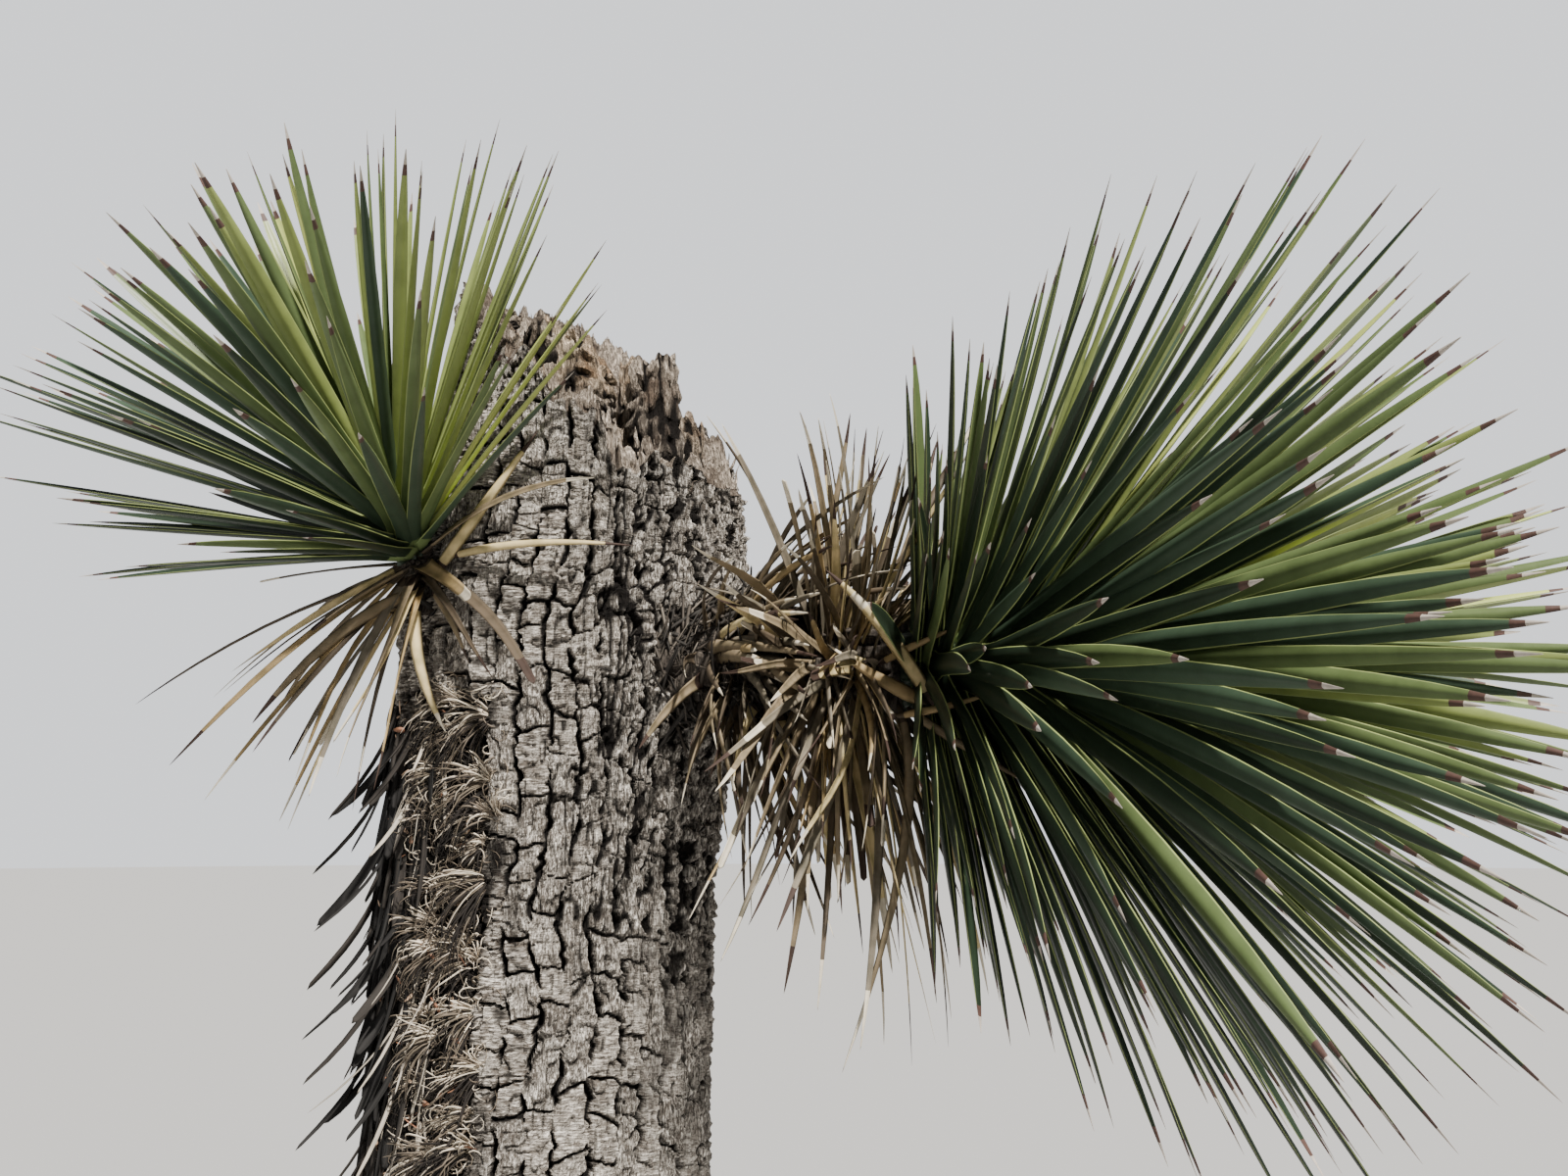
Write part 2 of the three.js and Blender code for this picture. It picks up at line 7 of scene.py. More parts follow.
import bpy
import numpy as np
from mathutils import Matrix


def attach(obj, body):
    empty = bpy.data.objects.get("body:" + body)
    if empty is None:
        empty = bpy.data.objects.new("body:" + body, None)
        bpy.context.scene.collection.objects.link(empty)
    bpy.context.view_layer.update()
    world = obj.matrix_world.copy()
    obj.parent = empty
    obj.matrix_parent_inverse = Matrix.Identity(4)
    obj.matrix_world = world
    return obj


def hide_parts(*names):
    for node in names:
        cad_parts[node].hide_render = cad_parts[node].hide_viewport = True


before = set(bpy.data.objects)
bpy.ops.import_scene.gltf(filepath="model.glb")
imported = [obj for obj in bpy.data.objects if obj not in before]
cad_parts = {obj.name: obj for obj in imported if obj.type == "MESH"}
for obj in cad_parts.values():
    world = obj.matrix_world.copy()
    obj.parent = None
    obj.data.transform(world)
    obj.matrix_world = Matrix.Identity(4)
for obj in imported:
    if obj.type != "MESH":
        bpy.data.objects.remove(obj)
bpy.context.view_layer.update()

MM = 0.001
TAU = 2 * math.pi
UP = np.array([0.0, 0.0, 1.0])
GOLDEN_ANGLE = math.radians(137.508)
BODY = "root"

# The trunk, from its flared foot to the break
TRUNK = Sizes(
    foot_radius=174 * MM,
    lower_radius=134 * MM,
    chest_radius=116 * MM,
    top_radius=97 * MM,
    flare_fade=120 * MM,
    root_lobes=6,
    root_lobe_share=0.3,
    root_lobe_turn=0.6,
    chest_height=1500 * MM,
    shoulder_height=1700 * MM,
    top_height=1935 * MM,
    lean=math.radians(1),
    top_shift=0.05,
    collar_angle=math.radians(-12),
    collar_width=math.radians(45),
    collar_bulge=24 * MM,
    collar_low=1500 * MM,
    collar_high=1690 * MM,
    unevenness=2.5 * MM,
    long_wave=170 * MM,
    short_wave=90 * MM,
    short_wave_share=0.6,
)

# The broken top: highest at the back left, falling to the front and to the right
BREAK = Sizes(
    highest=1952 * MM,
    middle=1932 * MM,
    slope_right=0.75,
    slope_front=0.5,
    crag=9 * MM,
    crag_spans=(9.1 * MM, 7.7 * MM),
    splinter_spans=(3.7 * MM, 3.2 * MM),
    splinter_share=0.6,
    sunk_centre=30 * MM,
)

# The bough that leaves the trunk at the front right and bends to the right
BOUGH = Sizes(
    path=np.array([[92, -38, 1666], [138, -68, 1662], [170, -90, 1659], [197, -106, 1657]]) * MM,
    root_radius=56 * MM,
    tip_radius=33 * MM,
)

# The spur that carries the left rosette
SPUR = Sizes(
    root=np.array([-38, -62, 1686]) * MM,
    direction=np.array([-0.395, -0.405, 0.825]),
    length=42 * MM,
    root_radius=23 * MM,
    tip_radius=17 * MM,
)
SPUR.direction = SPUR.direction / np.linalg.norm(SPUR.direction)
SPUR.tip = SPUR.root + SPUR.direction * SPUR.length
BOUGH_TIP = BOUGH.path[-1]
DEAD_ZONE_END = np.array([276, -143, 1650]) * MM
RIGHT_CROWN_TIP = np.array([398, -172, 1653]) * MM

# Each mass of leaves grows in a spiral round its own stem, from the oldest leaf at the
# stem's foot to the youngest at its tip. Lean is measured from the stem's direction, and
# the leaves between are further ones that fill in between the main leaves.
MASSES = {
    "right_rosette": Sizes(
        start=DEAD_ZONE_END, end=RIGHT_CROWN_TIP, stem_radius=29 * MM, domed=True,
        leaves=190, between=260, leaf_length=356 * MM, leaf_width=13.5 * MM, length_spread=0.09,
        young_share=0.86, old_share=0.52,
        young_lean=math.radians(3), old_lean=math.radians(82), lean_spread=math.radians(5),
        turn_spread=math.radians(8), recurve=-0.03, droop=0.035, bend_spread=0.03,
        left_limit=-math.inf, seed=4100,
    ),
    "left_rosette": Sizes(
        start=SPUR.tip + SPUR.direction * 18 * MM, end=SPUR.tip + SPUR.direction * 62 * MM,
        stem_radius=15 * MM, domed=True,
        leaves=84, between=60, leaf_length=281 * MM, leaf_width=10.8 * MM, length_spread=0.06,
        young_share=0.88, old_share=0.74,
        young_lean=math.radians(3), old_lean=math.radians(66), lean_spread=math.radians(4),
        turn_spread=math.radians(8), recurve=-0.02, droop=0.0, bend_spread=0.025,
        left_limit=-math.inf, seed=9200,
    ),
    "right_dead_leaves": Sizes(
        start=BOUGH_TIP, end=DEAD_ZONE_END, stem_radius=31 * MM, domed=False,
        leaves=100, between=260, leaf_length=180 * MM, leaf_width=7.5 * MM, length_spread=0.25,
        young_share=1.1, old_share=0.8,
        young_lean=math.radians(40), old_lean=math.radians(100), lean_spread=math.radians(17),
        turn_spread=math.radians(20), recurve=-0.06, droop=0.09, bend_spread=0.12,
        left_limit=138 * MM, seed=7300,
    ),
    "left_dead_leaves": Sizes(
        start=SPUR.tip, end=SPUR.tip + SPUR.direction * 18 * MM, stem_radius=16 * MM, domed=False,
        leaves=32, between=24, leaf_length=165 * MM, leaf_width=7.5 * MM, length_spread=0.3,
        young_share=1.0, old_share=1.0,
        young_lean=math.radians(70), old_lean=math.radians(122), lean_spread=math.radians(20),
        turn_spread=math.radians(25), recurve=-0.05, droop=0.16, bend_spread=0.1,
        left_limit=-math.inf, seed=5500,
    ),
}

# How leaves are placed and how far apart they stay
LEAF = Sizes(
    first_place=0.04,
    last_place=0.93,
    root_depth_share=0.35,
    shallow_age=0.33,
    full_length_youth=0.5,
    shorter_youth=0.5,
    samples=12,
    tries=6,
    root_share=0.3,
    same_mass_clearance=5 * MM,
    between_clearance=2.2 * MM,
    between_length_share=0.94,
    other_mass_clearance=14 * MM,
    between_other_clearance=5 * MM,
    limb_clearance=9 * MM,
    between_seed=60000,
)


# Repeatable numbers, smooth steps and noise

def seeded_random(seed):
    """A small repeatable generator of numbers from 0 to 1."""
    mask = 0xFFFFFFFF
    state = seed & mask

    def draw():
        nonlocal state
        state = (state + 0x6D2B79F5) & mask
        mixed = state
        mixed = ((mixed ^ (mixed >> 15)) * (mixed | 1)) & mask
        mixed ^= (mixed + (mixed ^ (mixed >> 7)) * (mixed | 61)) & mask
        return (mixed ^ (mixed >> 14)) / (mask + 1)

    return draw


def lerp(low, high, share):
    return low + (high - low) * share


def smoothstep(value, low, high):
    share = np.clip((value - low) / (high - low), 0, 1)
    return share * share * (3 - 2 * share)


def unit(vectors):
    return vectors / np.maximum(np.linalg.norm(vectors, axis=-1, keepdims=True), 1e-12)


def hashed(first, second, seed):
    """A number from 0 to 1 for each pair of numbers, as if drawn anew for each."""
    mixed = np.sin(first * 127.1 + second * 311.7 + seed * 74.7) * 43758.5453
    return mixed - np.floor(mixed)


def lattice_noise(x, y, seed, wrap=None):
    """Smooth noise from -1 to 1 with one lump a unit. It repeats after wrap units of x."""
    column = np.floor(x)
    row = np.floor(y)
    across = smoothstep(x - column, 0, 1)
    rise = smoothstep(y - row, 0, 1)

    def corner(right, up):
        place = np.mod(column + right, wrap) if wrap else column + right
        return hashed(place, row + up, seed)

    bottom = lerp(corner(0, 0), corner(1, 0), across)
    top = lerp(corner(0, 1), corner(1, 1), across)
    return 2 * lerp(bottom, top, rise) - 1


def ring_noise(turn, rise, lumps, seed):
    """Noise round a ring, by shares of a turn, with a number of lumps in the whole turn."""
    return lattice_noise(turn * lumps, rise, seed, lumps)


def plan_noise(x, y, spans, seed):
    """Noise over the plan, with lumps of two given spans."""
    return lattice_noise(x / spans[0], y / spans[1], seed)


def angle_from(middle, angle):
    """How far an angle is from a middle one, at most half a turn either way."""
    return np.mod(angle - middle + math.pi, TAU) - math.pi


def row_draws(random, count):
    """Two ways to draw a row of random numbers for each of a number of blades."""

    def even(low, high):
        return random.uniform(low, high, (count, 1))

    def bell(spread, middle=0):
        return random.normal(middle, spread, (count, 1))

    return even, bell


# The trunk's surface

def trunk_axis_x(height):
    over_shoulder = np.maximum(0, height - TRUNK.shoulder_height)
    return height * math.tan(TRUNK.lean) + over_shoulder * TRUNK.top_shift


def trunk_radius(height, angle):
    rise = np.clip(height / TRUNK.chest_height, 0, 1)
    below = lerp(TRUNK.lower_radius, TRUNK.chest_radius, rise)
    narrowing = smoothstep(height, TRUNK.shoulder_height, TRUNK.top_height)
    taper = lerp(below, TRUNK.top_radius, narrowing)

    flare = (TRUNK.foot_radius - TRUNK.lower_radius) * np.exp(-height / TRUNK.flare_fade)
    lobes = 1 + TRUNK.root_lobe_share * np.cos(TRUNK.root_lobes * angle + TRUNK.root_lobe_turn)

    from_collar = angle_from(TRUNK.collar_angle, angle)
    collar_rise = smoothstep(height, TRUNK.collar_low, TRUNK.collar_high)
    collar = TRUNK.collar_bulge * collar_rise * np.exp(-(from_collar / TRUNK.collar_width) ** 2)

    long_waves = np.sin(3 * angle + height / TRUNK.long_wave)
    short_waves = TRUNK.short_wave_share * np.sin(5 * angle - height / TRUNK.short_wave)
    return taper + flare * lobes + collar + TRUNK.unevenness * (long_waves + short_waves)


def trunk_points(height, angle, extra):
    """Points on the trunk's surface, moved out by extra."""
    radius = trunk_radius(height, angle) + extra
    x = trunk_axis_x(height) + np.cos(angle) * radius
    return np.stack([x, np.sin(angle) * radius, height + 0 * radius], axis=-1)


def leftward(angle):
    """The level direction towards the left, seen from outside, at an angle of the trunk."""
    return np.stack([np.sin(angle), -np.cos(angle), 0 * angle], -1)


def frames_on_trunk(centres, angle):
    """Side and lift of fibres that lie on the trunk, with their lift away from it."""
    outward = np.stack([np.cos(angle), np.sin(angle), 0 * angle], -1)
    return frames_along(centres, np.cross(outward, unit(np.gradient(centres, axis=1))))


def break_height(x, y):
    """Height of the broken surface over a point of the plan."""
    slope = BREAK.middle - BREAK.slope_right * x + BREAK.slope_front * y
    crags = np.sin(x / BREAK.crag_spans[0] + 1) * np.sin(y / BREAK.crag_spans[1] + 2)
    splinters = np.sin(x / BREAK.splinter_spans[0]) * np.sin(y / BREAK.splinter_spans[1] + 1)
    return np.minimum(BREAK.highest, slope) + BREAK.crag * (crags + BREAK.splinter_share * splinters)


def rim_height(angle):
    at_rim = trunk_points(TRUNK.top_height, angle, 0)
    return break_height(at_rim[..., 0], at_rim[..., 1])


# The rule by which leaves grow

def cross_frame(direction):
    across = unit(np.cross(direction, UP))
    return across, np.cross(direction, across)


def leaf_line(mass, index, random):
    """One leaf as a bent line with its own frame. Index may lie between two main leaves."""

    def spread(amount):
        return (random() * 2 - 1) * amount

    youth = index / (mass.leaves - 1)
    age = 1 - youth
    stem_length = np.linalg.norm(mass.end - mass.start)
    axis = (mass.end - mass.start) / stem_length
    across, second = cross_frame(axis)
    turn = index * GOLDEN_ANGLE + spread(mass.turn_spread)
    radial = across * math.cos(turn) + second * math.sin(turn)

    even_lean = math.acos(lerp(math.cos(mass.young_lean), math.cos(mass.old_lean), age))
    lean = even_lean + spread(mass.lean_spread)
    direction = axis * math.cos(lean) + radial * math.sin(lean)
    inward = axis * math.sin(lean) - radial * math.cos(lean)
    sideways = np.cross(direction, inward)

    grown_share = lerp(mass.old_share, 1, smoothstep(youth, 0, LEAF.full_length_youth))
    young_share = lerp(1, mass.young_share, smoothstep(youth, LEAF.shorter_youth, 1))
    length = mass.leaf_length * grown_share * young_share * (1 + spread(mass.length_spread))
    bend = inward * (mass.recurve + spread(mass.bend_spread))
    bend = bend + sideways * spread(mass.bend_spread) - UP * mass.droop

    off_axis = mass.stem_radius * LEAF.root_depth_share * min(1, age / LEAF.shallow_age)
    height = stem_length * lerp(LEAF.first_place, LEAF.last_place, youth)
    root = mass.start + axis * height + radial * off_axis
    return Sizes(root=root, direction=direction, sideways=sideways, bend=bend,
                 length=length, width=mass.leaf_width, youth=youth)


def leaf_samples(leaf):
    share = np.linspace(0, 1, LEAF.samples + 1)[:, None]
    return leaf.root + leaf.length * (leaf.direction * share + leaf.bend * share * share)


def nearest_distance(points, lines):
    """The least distance from any of the points to any of the lines, each a row of points."""
    start = lines[:, :-1]
    run = lines[:, 1:] - start
    reach = points[:, None, None] - start
    share = np.clip((reach * run).sum(-1) / (run * run).sum(-1), 0, 1)
    return np.sqrt(((reach - run * share[..., None]) ** 2).sum(-1).min())


def clear_of_trunk(points):
    x, y, z = points.T
    from_axis = x - trunk_axis_x(z)
    reach = trunk_radius(z, np.arctan2(y, from_axis)) + LEAF.limb_clearance
    return np.all((np.hypot(from_axis, y) > reach) | (z > break_height(x, y) + LEAF.limb_clearance))


def leaf_places(mass):
    """The main leaves by their whole numbers, then the further ones between them."""
    main = [(index, mass.seed + index * 16) for index in range(mass.leaves)]
    step = (mass.leaves - 1) / mass.between
    between = [((number + 0.5) * step, mass.seed + LEAF.between_seed + number * 16)
               for number in range(mass.between)]
    return main, between


def grow_leaves(mass, rods, other_lines):
    """The leaves of a mass, each tried a few times and skipped where it would touch."""
    grown = []
    free_lines = []
    first_free = math.ceil(LEAF.samples * LEAF.root_share)

    def clear(samples, beside, beside_other):
        if samples[:, 0].min() < mass.left_limit or not clear_of_trunk(samples[1:]):
            return False
        if any(nearest_distance(samples[2:], line[None]) < radius + LEAF.limb_clearance
               for line, radius in rods):
            return False
        if free_lines and nearest_distance(samples[first_free:], np.array(free_lines)) < beside:
            return False
        return not len(other_lines) or nearest_distance(samples[1:], other_lines) > beside_other

    main, between = leaf_places(mass)
    kinds = [(main, 1.0, LEAF.same_mass_clearance, LEAF.other_mass_clearance),
             (between, LEAF.between_length_share, LEAF.between_clearance, LEAF.between_other_clearance)]
    for places, length_share, beside, beside_other in kinds:
        for index, seed in places:
            for attempt in range(LEAF.tries):
                leaf = leaf_line(mass, index, seeded_random(seed + attempt))
                leaf.length *= length_share
                samples = leaf_samples(leaf)
                if clear(samples, beside, beside_other):
                    grown.append(leaf)
                    free_lines.append(samples[first_free:])
                    break
    return grown


def grow_arm(live_name, dead_name, limb_line, limb_radius):
    """The live and then the dead leaves of one arm."""
    live, dead = MASSES[live_name], MASSES[dead_name]
    limb = (limb_line, limb_radius)
    live_stem = (np.array([live.start, live.end]), live.stem_radius)
    dead_stem = (np.array([dead.start, dead.end]), dead.stem_radius)
    live_leaves = grow_leaves(live, [limb, dead_stem], [])
    live_lines = np.array([leaf_samples(leaf) for leaf in live_leaves])
    dead_leaves = grow_leaves(dead, [limb, live_stem], live_lines)
    return live_leaves, dead_leaves


# Meshes from arrays

def new_piece(name, points, quads, triangles, materials, face_slots=None, smooth=True):
    """A mesh object that rides on the tree, from arrays of points and corners."""
    mesh = bpy.data.meshes.new(name)
    quads = np.asarray(quads, np.int32).reshape(-1, 4)
    triangles = np.asarray(triangles, np.int32).reshape(-1, 3)
    corners = np.concatenate([quads.ravel(), triangles.ravel()])
    totals = np.concatenate([np.full(len(quads), 4), np.full(len(triangles), 3)])
    starts = np.concatenate([[0], np.cumsum(totals)[:-1]])
    mesh.vertices.add(len(points))
    mesh.vertices.foreach_set("co", np.asarray(points, np.float32).ravel())
    mesh.loops.add(len(corners))
    mesh.loops.foreach_set("vertex_index", corners)
    mesh.polygons.add(len(totals))
    mesh.polygons.foreach_set("loop_start", starts.astype(np.int32))
    for material in materials:
        mesh.materials.append(material)
    if face_slots is not None:
        mesh.polygons.foreach_set("material_index", np.asarray(face_slots, np.int32))
    mesh.polygons.foreach_set("use_smooth", np.full(len(totals), smooth))
    mesh.update(calc_edges=True)
    mesh.validate()
    piece = bpy.data.objects.new(name, mesh)
    bpy.context.scene.collection.objects.link(piece)
    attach(piece, BODY)
    return piece


def set_point_values(piece, name, values):
    layer = piece.data.attributes.new(name, "FLOAT", "POINT")
    layer.data.foreach_set("value", np.asarray(values, np.float32).ravel())


def grid_quads(rows, columns):
    """Corners of a grid of points, ring by ring, each ring closed round."""
    row = np.arange(rows - 1)[:, None]
    column = np.arange(columns)[None, :]
    right = (column + 1) % columns
    corners = [row * columns + column, row * columns + right,
               (row + 1) * columns + right, (row + 1) * columns + column]
    return np.stack(corners, -1).reshape(-1, 4)


def fan(centre, ring, around, turned=False):
    """Triangles from a centre point to the ring of points that starts at a number."""
    side = np.arange(around)
    here, following = ring + side, ring + (side + 1) % around
    pair = (following, here) if turned else (here, following)
    return np.stack([np.full_like(side, centre), *pair], -1)


def frames_along(centres, side_hints):
    """Side and lift directions at each point of each line."""
    forward = unit(np.gradient(centres, axis=1))
    side = side_hints - forward * (side_hints * forward).sum(-1, keepdims=True)
    side = unit(side)
    return side, np.cross(side, forward)


def twisted(side, lift, turn):
    """Side and lift turned about their line by an angle at each point."""
    cosine, sine = np.cos(turn)[..., None], np.sin(turn)[..., None]
    return side * cosine + lift * sine, lift * cosine - side * sine


# How far a blade's point reaches past its last ring, in spaces between rings
TIP_SHARE = 0.3


def blades(name, centres, side, lift, half_widths, section, materials, face_slots,
           root_slots, tip_slots):
    """One closed blade along each line, all joined. The section is in half widths."""
    count, stations = half_widths.shape
    corners = len(section)
    across = section[:, 0][None, None, :, None] * half_widths[..., None, None]
    rise = section[:, 1][None, None, :, None] * half_widths[..., None, None]
    rings = centres[:, :, None] + across * side[:, :, None] + rise * lift[:, :, None]
    ring_points = rings.reshape(-1, 3)
    tips = centres[:, -1] + (centres[:, -1] - centres[:, -2]) * TIP_SHARE

    blade_start = np.arange(count)[:, None, None] * stations * corners
    station = np.arange(stations - 1)[None, :, None] * corners
    corner = np.arange(corners)[None, None, :]
    low = blade_start + station + corner
    low_next = blade_start + station + (corner + 1) % corners
    quads = np.stack([low, low_next, low_next + corners, low + corners], -1).reshape(-1, 4)

    number = np.arange(count)[:, None]
    root_point = len(ring_points) + number
    start = number * stations * corners
    last = start + (stations - 1) * corners
    here = np.arange(corners)[None, :]
    following = (here + 1) % corners
    root_fan = np.broadcast_arrays(start + following, start + here, root_point)
    tip_fan = np.broadcast_arrays(last + here, last + following, root_point + count)
    triangles = np.concatenate([np.stack(root_fan, -1), np.stack(tip_fan, -1)])
    points = np.concatenate([ring_points, centres[:, 0], tips])
    slots = np.concatenate([np.asarray(face_slots).ravel(), np.repeat(root_slots, corners),
                            np.repeat(tip_slots, corners)])
    return new_piece(name, points, quads, triangles, materials, slots)


def one_tone_blades(name, centres, side, lift, half_widths, section, materials, tone):
    """Blades that each have one tone all over."""
    slots = np.repeat(tone, (half_widths.shape[1] - 1) * len(section))
    return blades(name, centres, side, lift, half_widths, section, materials, slots, tone, tone)


# Shader nodes

class Shader:
    """Adds nodes to one tree and links them by their sockets' names or numbers."""

    def __init__(self, tree):
        self.tree = tree

    def node(self, kind, settings=None, **inputs):
        node = self.tree.nodes.new(kind)
        for name, value in (settings or {}).items():
            setattr(node, name, value)
        for name, value in inputs.items():
            self.put(node, name, value)
        return node

    def put(self, node, name, value):
        key = int(name[1:]) if name[0] == "_" else name.replace("_", " ")
        socket = node.inputs[key]
        if isinstance(value, bpy.types.NodeSocket):
            self.tree.links.new(value, socket)
        else:
            socket.default_value = value

    def math(self, operation, first, second=0.5):
        settings = {"operation": operation}
        return self.node("ShaderNodeMath", settings, _0=first, _1=second).outputs[0]

    def mix(self, factor, first, second, blend="MIX"):
        settings = {"data_type": "RGBA", "blend_type": blend}
        return self.node("ShaderNodeMix", settings, _0=factor, _6=first, _7=second).outputs[2]

    def range(self, value, low, high):
        settings = {"interpolation_type": "SMOOTHSTEP"}
        return self.node("ShaderNodeMapRange", settings, Value=value, From_Min=low,
                         From_Max=high).outputs["Result"]

    def noise(self, vector, scale, detail=3.0, roughness=0.55):
        return self.node("ShaderNodeTexNoise", None, Vector=vector, Scale=scale,
                         Detail=detail, Roughness=roughness).outputs[0]


def colour(red, green, blue):
    """A colour by its screen values from 0 to 255."""
    values = [value / 255 for value in (red, green, blue)]
    linear = [v / 12.92 if v <= 0.04045 else ((v + 0.055) / 1.055) ** 2.4 for v in values]
    return (*linear, 1.0)


def new_group(name, inputs, outputs):
    """A node group with named inputs and outputs, and its first nodes."""
    tree = bpy.data.node_groups.new(name, "ShaderNodeTree")
    for title, kind, default in inputs:
        socket = tree.interface.new_socket(title, in_out="INPUT", socket_type=kind)
        socket.default_value = default
    for title in outputs:
        kind = "NodeSocketColor" if title == "Color" else "NodeSocketFloat"
        tree.interface.new_socket(title, in_out="OUTPUT", socket_type=kind)
    entry = tree.nodes.new("NodeGroupInput")
    leave = tree.nodes.new("NodeGroupOutput")
    return Shader(tree), entry.outputs, leave


def fibre_group():
    """Fine fibres that run along Z, thin level layers, and weathered blotches."""
    shader, given, leave = new_group(
        "weathered fibres",
        [("Fibre Width", "NodeSocketFloat", 0.0015), ("Fibre Length", "NodeSocketFloat", 0.012),
         ("Layer Width", "NodeSocketFloat", 0.007), ("Layer Height", "NodeSocketFloat", 0.0011),
         ("Blotch Size", "NodeSocketFloat", 0.03)],
        ["Fibres", "Layers", "Blotches"])
    place = shader.node("ShaderNodeTexCoord").outputs["Object"]
    parts = shader.node("ShaderNodeSeparateXYZ", Vector=place).outputs

    def streaks(across, along):
        squeezed = shader.node("ShaderNodeCombineXYZ",
                               X=shader.math("DIVIDE", parts["X"], given[across]),
                               Y=shader.math("DIVIDE", parts["Y"], given[across]),
                               Z=shader.math("DIVIDE", parts["Z"], given[along])).outputs[0]
        noise = shader.noise(squeezed, scale=1.0, detail=3.0, roughness=0.6)
        return shader.range(noise, low=0.34, high=0.66)

    scale = shader.math("DIVIDE", 1.0, given["Blotch Size"])
    blotches = shader.noise(place, scale, detail=4.0, roughness=0.6)
    shader.put(leave, "Fibres", streaks("Fibre Width", "Fibre Length"))
    shader.put(leave, "Layers", streaks("Layer Width", "Layer Height"))
    shader.put(leave, "Blotches", shader.range(blotches, low=0.32, high=0.68))
    return shader.tree


MOTTLED_TINT = (0.35, 0.38, 0.3, 1.0)
GRAINS_A_LUMP = 6.0


def mottling_group():
    """Faint mottling of a plain tone, and a finer grain for its bump."""
    shader, given, leave = new_group(
        "plant mottling",
        [("Base", "NodeSocketColor", (0.5, 0.5, 0.5, 1.0)), ("Strength", "NodeSocketFloat", 0.3),
         ("Size", "NodeSocketFloat", 0.02)],
        ["Color", "Grain"])
    place = shader.node("ShaderNodeTexCoord").outputs["Object"]
    lumps = shader.noise(place, shader.math("DIVIDE", 1.0, given["Size"]), detail=3.0)
    grain = shader.noise(place, shader.math("DIVIDE", GRAINS_A_LUMP, given["Size"]), detail=2.0)
    amount = shader.math("MULTIPLY", given["Strength"], shader.range(lumps, low=0.35, high=0.7))
    darker = shader.mix(1.0, given["Base"], MOTTLED_TINT, "MULTIPLY")
    shader.put(leave, "Color", shader.mix(amount, given["Base"], darker))
    shader.put(leave, "Grain", grain)
    return shader.tree


FIBRES = fibre_group()
MOTTLING = mottling_group()

MAT_TONES = Sizes(
    strand=colour(86, 79, 72),
    gap=colour(18, 15, 13),
    dust=0.45,
)
# The fissure tone is painted shade for the fissures, cracks and splits and for the bark under the strip of
# old leaf bases.
BARK_TONES = Sizes(
    plate=colour(140, 132, 123),
    light_plate=colour(206, 198, 187),
    blotch=colour(238, 231, 220),
    layer_gap=colour(88, 80, 72),
    fibre_gap=colour(76, 69, 62),
    fissure=colour(22, 18, 15),
)
WOOD_TONES = Sizes(
    weathered=colour(98, 85, 74),
    light_weathered=colour(208, 194, 178),
    fresh=colour(138, 112, 86),
    light_fresh=colour(232, 212, 186),
    gap=colour(34, 28, 23),
    gap_share=0.75,
    # painted shade for hollows, low places and the feet and grooves of crags
    hollow=colour(20, 16, 13),
)

# The plain tones of leaves and fibres: red, green and blue, then roughness, strength of the
# mottling and its size. The green ones go from shade to sun.
TONES = {
    "green": [
        ("leaf green deep", (37, 50, 36), 0.42, 0.3, 20 * MM),
        ("leaf green shaded", (58, 75, 58), 0.42, 0.3, 20 * MM),
        ("leaf green", (94, 110, 68), 0.42, 0.3, 20 * MM),
        ("leaf green light", (138, 151, 86), 0.42, 0.3, 20 * MM),
        ("leaf green sunlit", (186, 197, 110), 0.42, 0.3, 20 * MM),
    ],
    "green parts": [
        ("leaf margin", (138, 150, 92), 0.5, 0.2, 20 * MM),
        ("leaf end band", (84, 62, 55), 0.6, 0.4, 6 * MM),
        ("leaf point", (186, 176, 166), 0.6, 0.3, 6 * MM),
        ("leaf clasping base", (124, 142, 92), 0.4, 0.25, 20 * MM),
    ],
    "dead": [
        ("dead leaf tan", (130, 115, 91), 0.7, 0.6, 12 * MM),
        ("dead leaf gold", (162, 139, 99), 0.7, 0.6, 12 * MM),
        ("dead leaf straw", (206, 186, 138), 0.7, 0.6, 12 * MM),
        ("dead leaf brown", (84, 72, 57), 0.7, 0.6, 12 * MM),
        ("dead leaf grey", (118, 109, 94), 0.7, 0.6, 12 * MM),
    ],
    "dead parts": [
        ("dead leaf mottle", (58, 42, 34), 0.75, 0.4, 8 * MM),
        ("dead leaf pale end", (206, 196, 176), 0.7, 0.3, 8 * MM),
    ],
    "limb fibre": [
        ("fibre dark", (38, 34, 30), 0.8, 0.4, 10 * MM),
        ("fibre grey", (70, 63, 56), 0.8, 0.4, 10 * MM),
        ("fibre pale", (120, 111, 101), 0.8, 0.4, 10 * MM),
    ],
    "tuft": [
        ("old base pale", (226, 212, 192), 0.75, 0.4, 10 * MM),
        ("old base grey", (118, 106, 92), 0.8, 0.5, 10 * MM),
        ("old base dark", (38, 32, 28), 0.85, 0.5, 10 * MM),
    ],
    # The strap tones are their own dull brown, darkened further as painted shade of the left flank.
    "strap": [
        ("strap brown", (44, 39, 35), 0.8, 0.5, 12 * MM),
        ("strap dark", (27, 25, 24), 0.8, 0.5, 12 * MM),
        ("strap pale", (186, 176, 162), 0.75, 0.4, 12 * MM),
    ],
    "chip": [
        ("chip red-brown", (146, 102, 78), 0.7, 0.5, 6 * MM),
        ("chip tan", (190, 160, 134), 0.7, 0.5, 6 * MM),
    ],
}


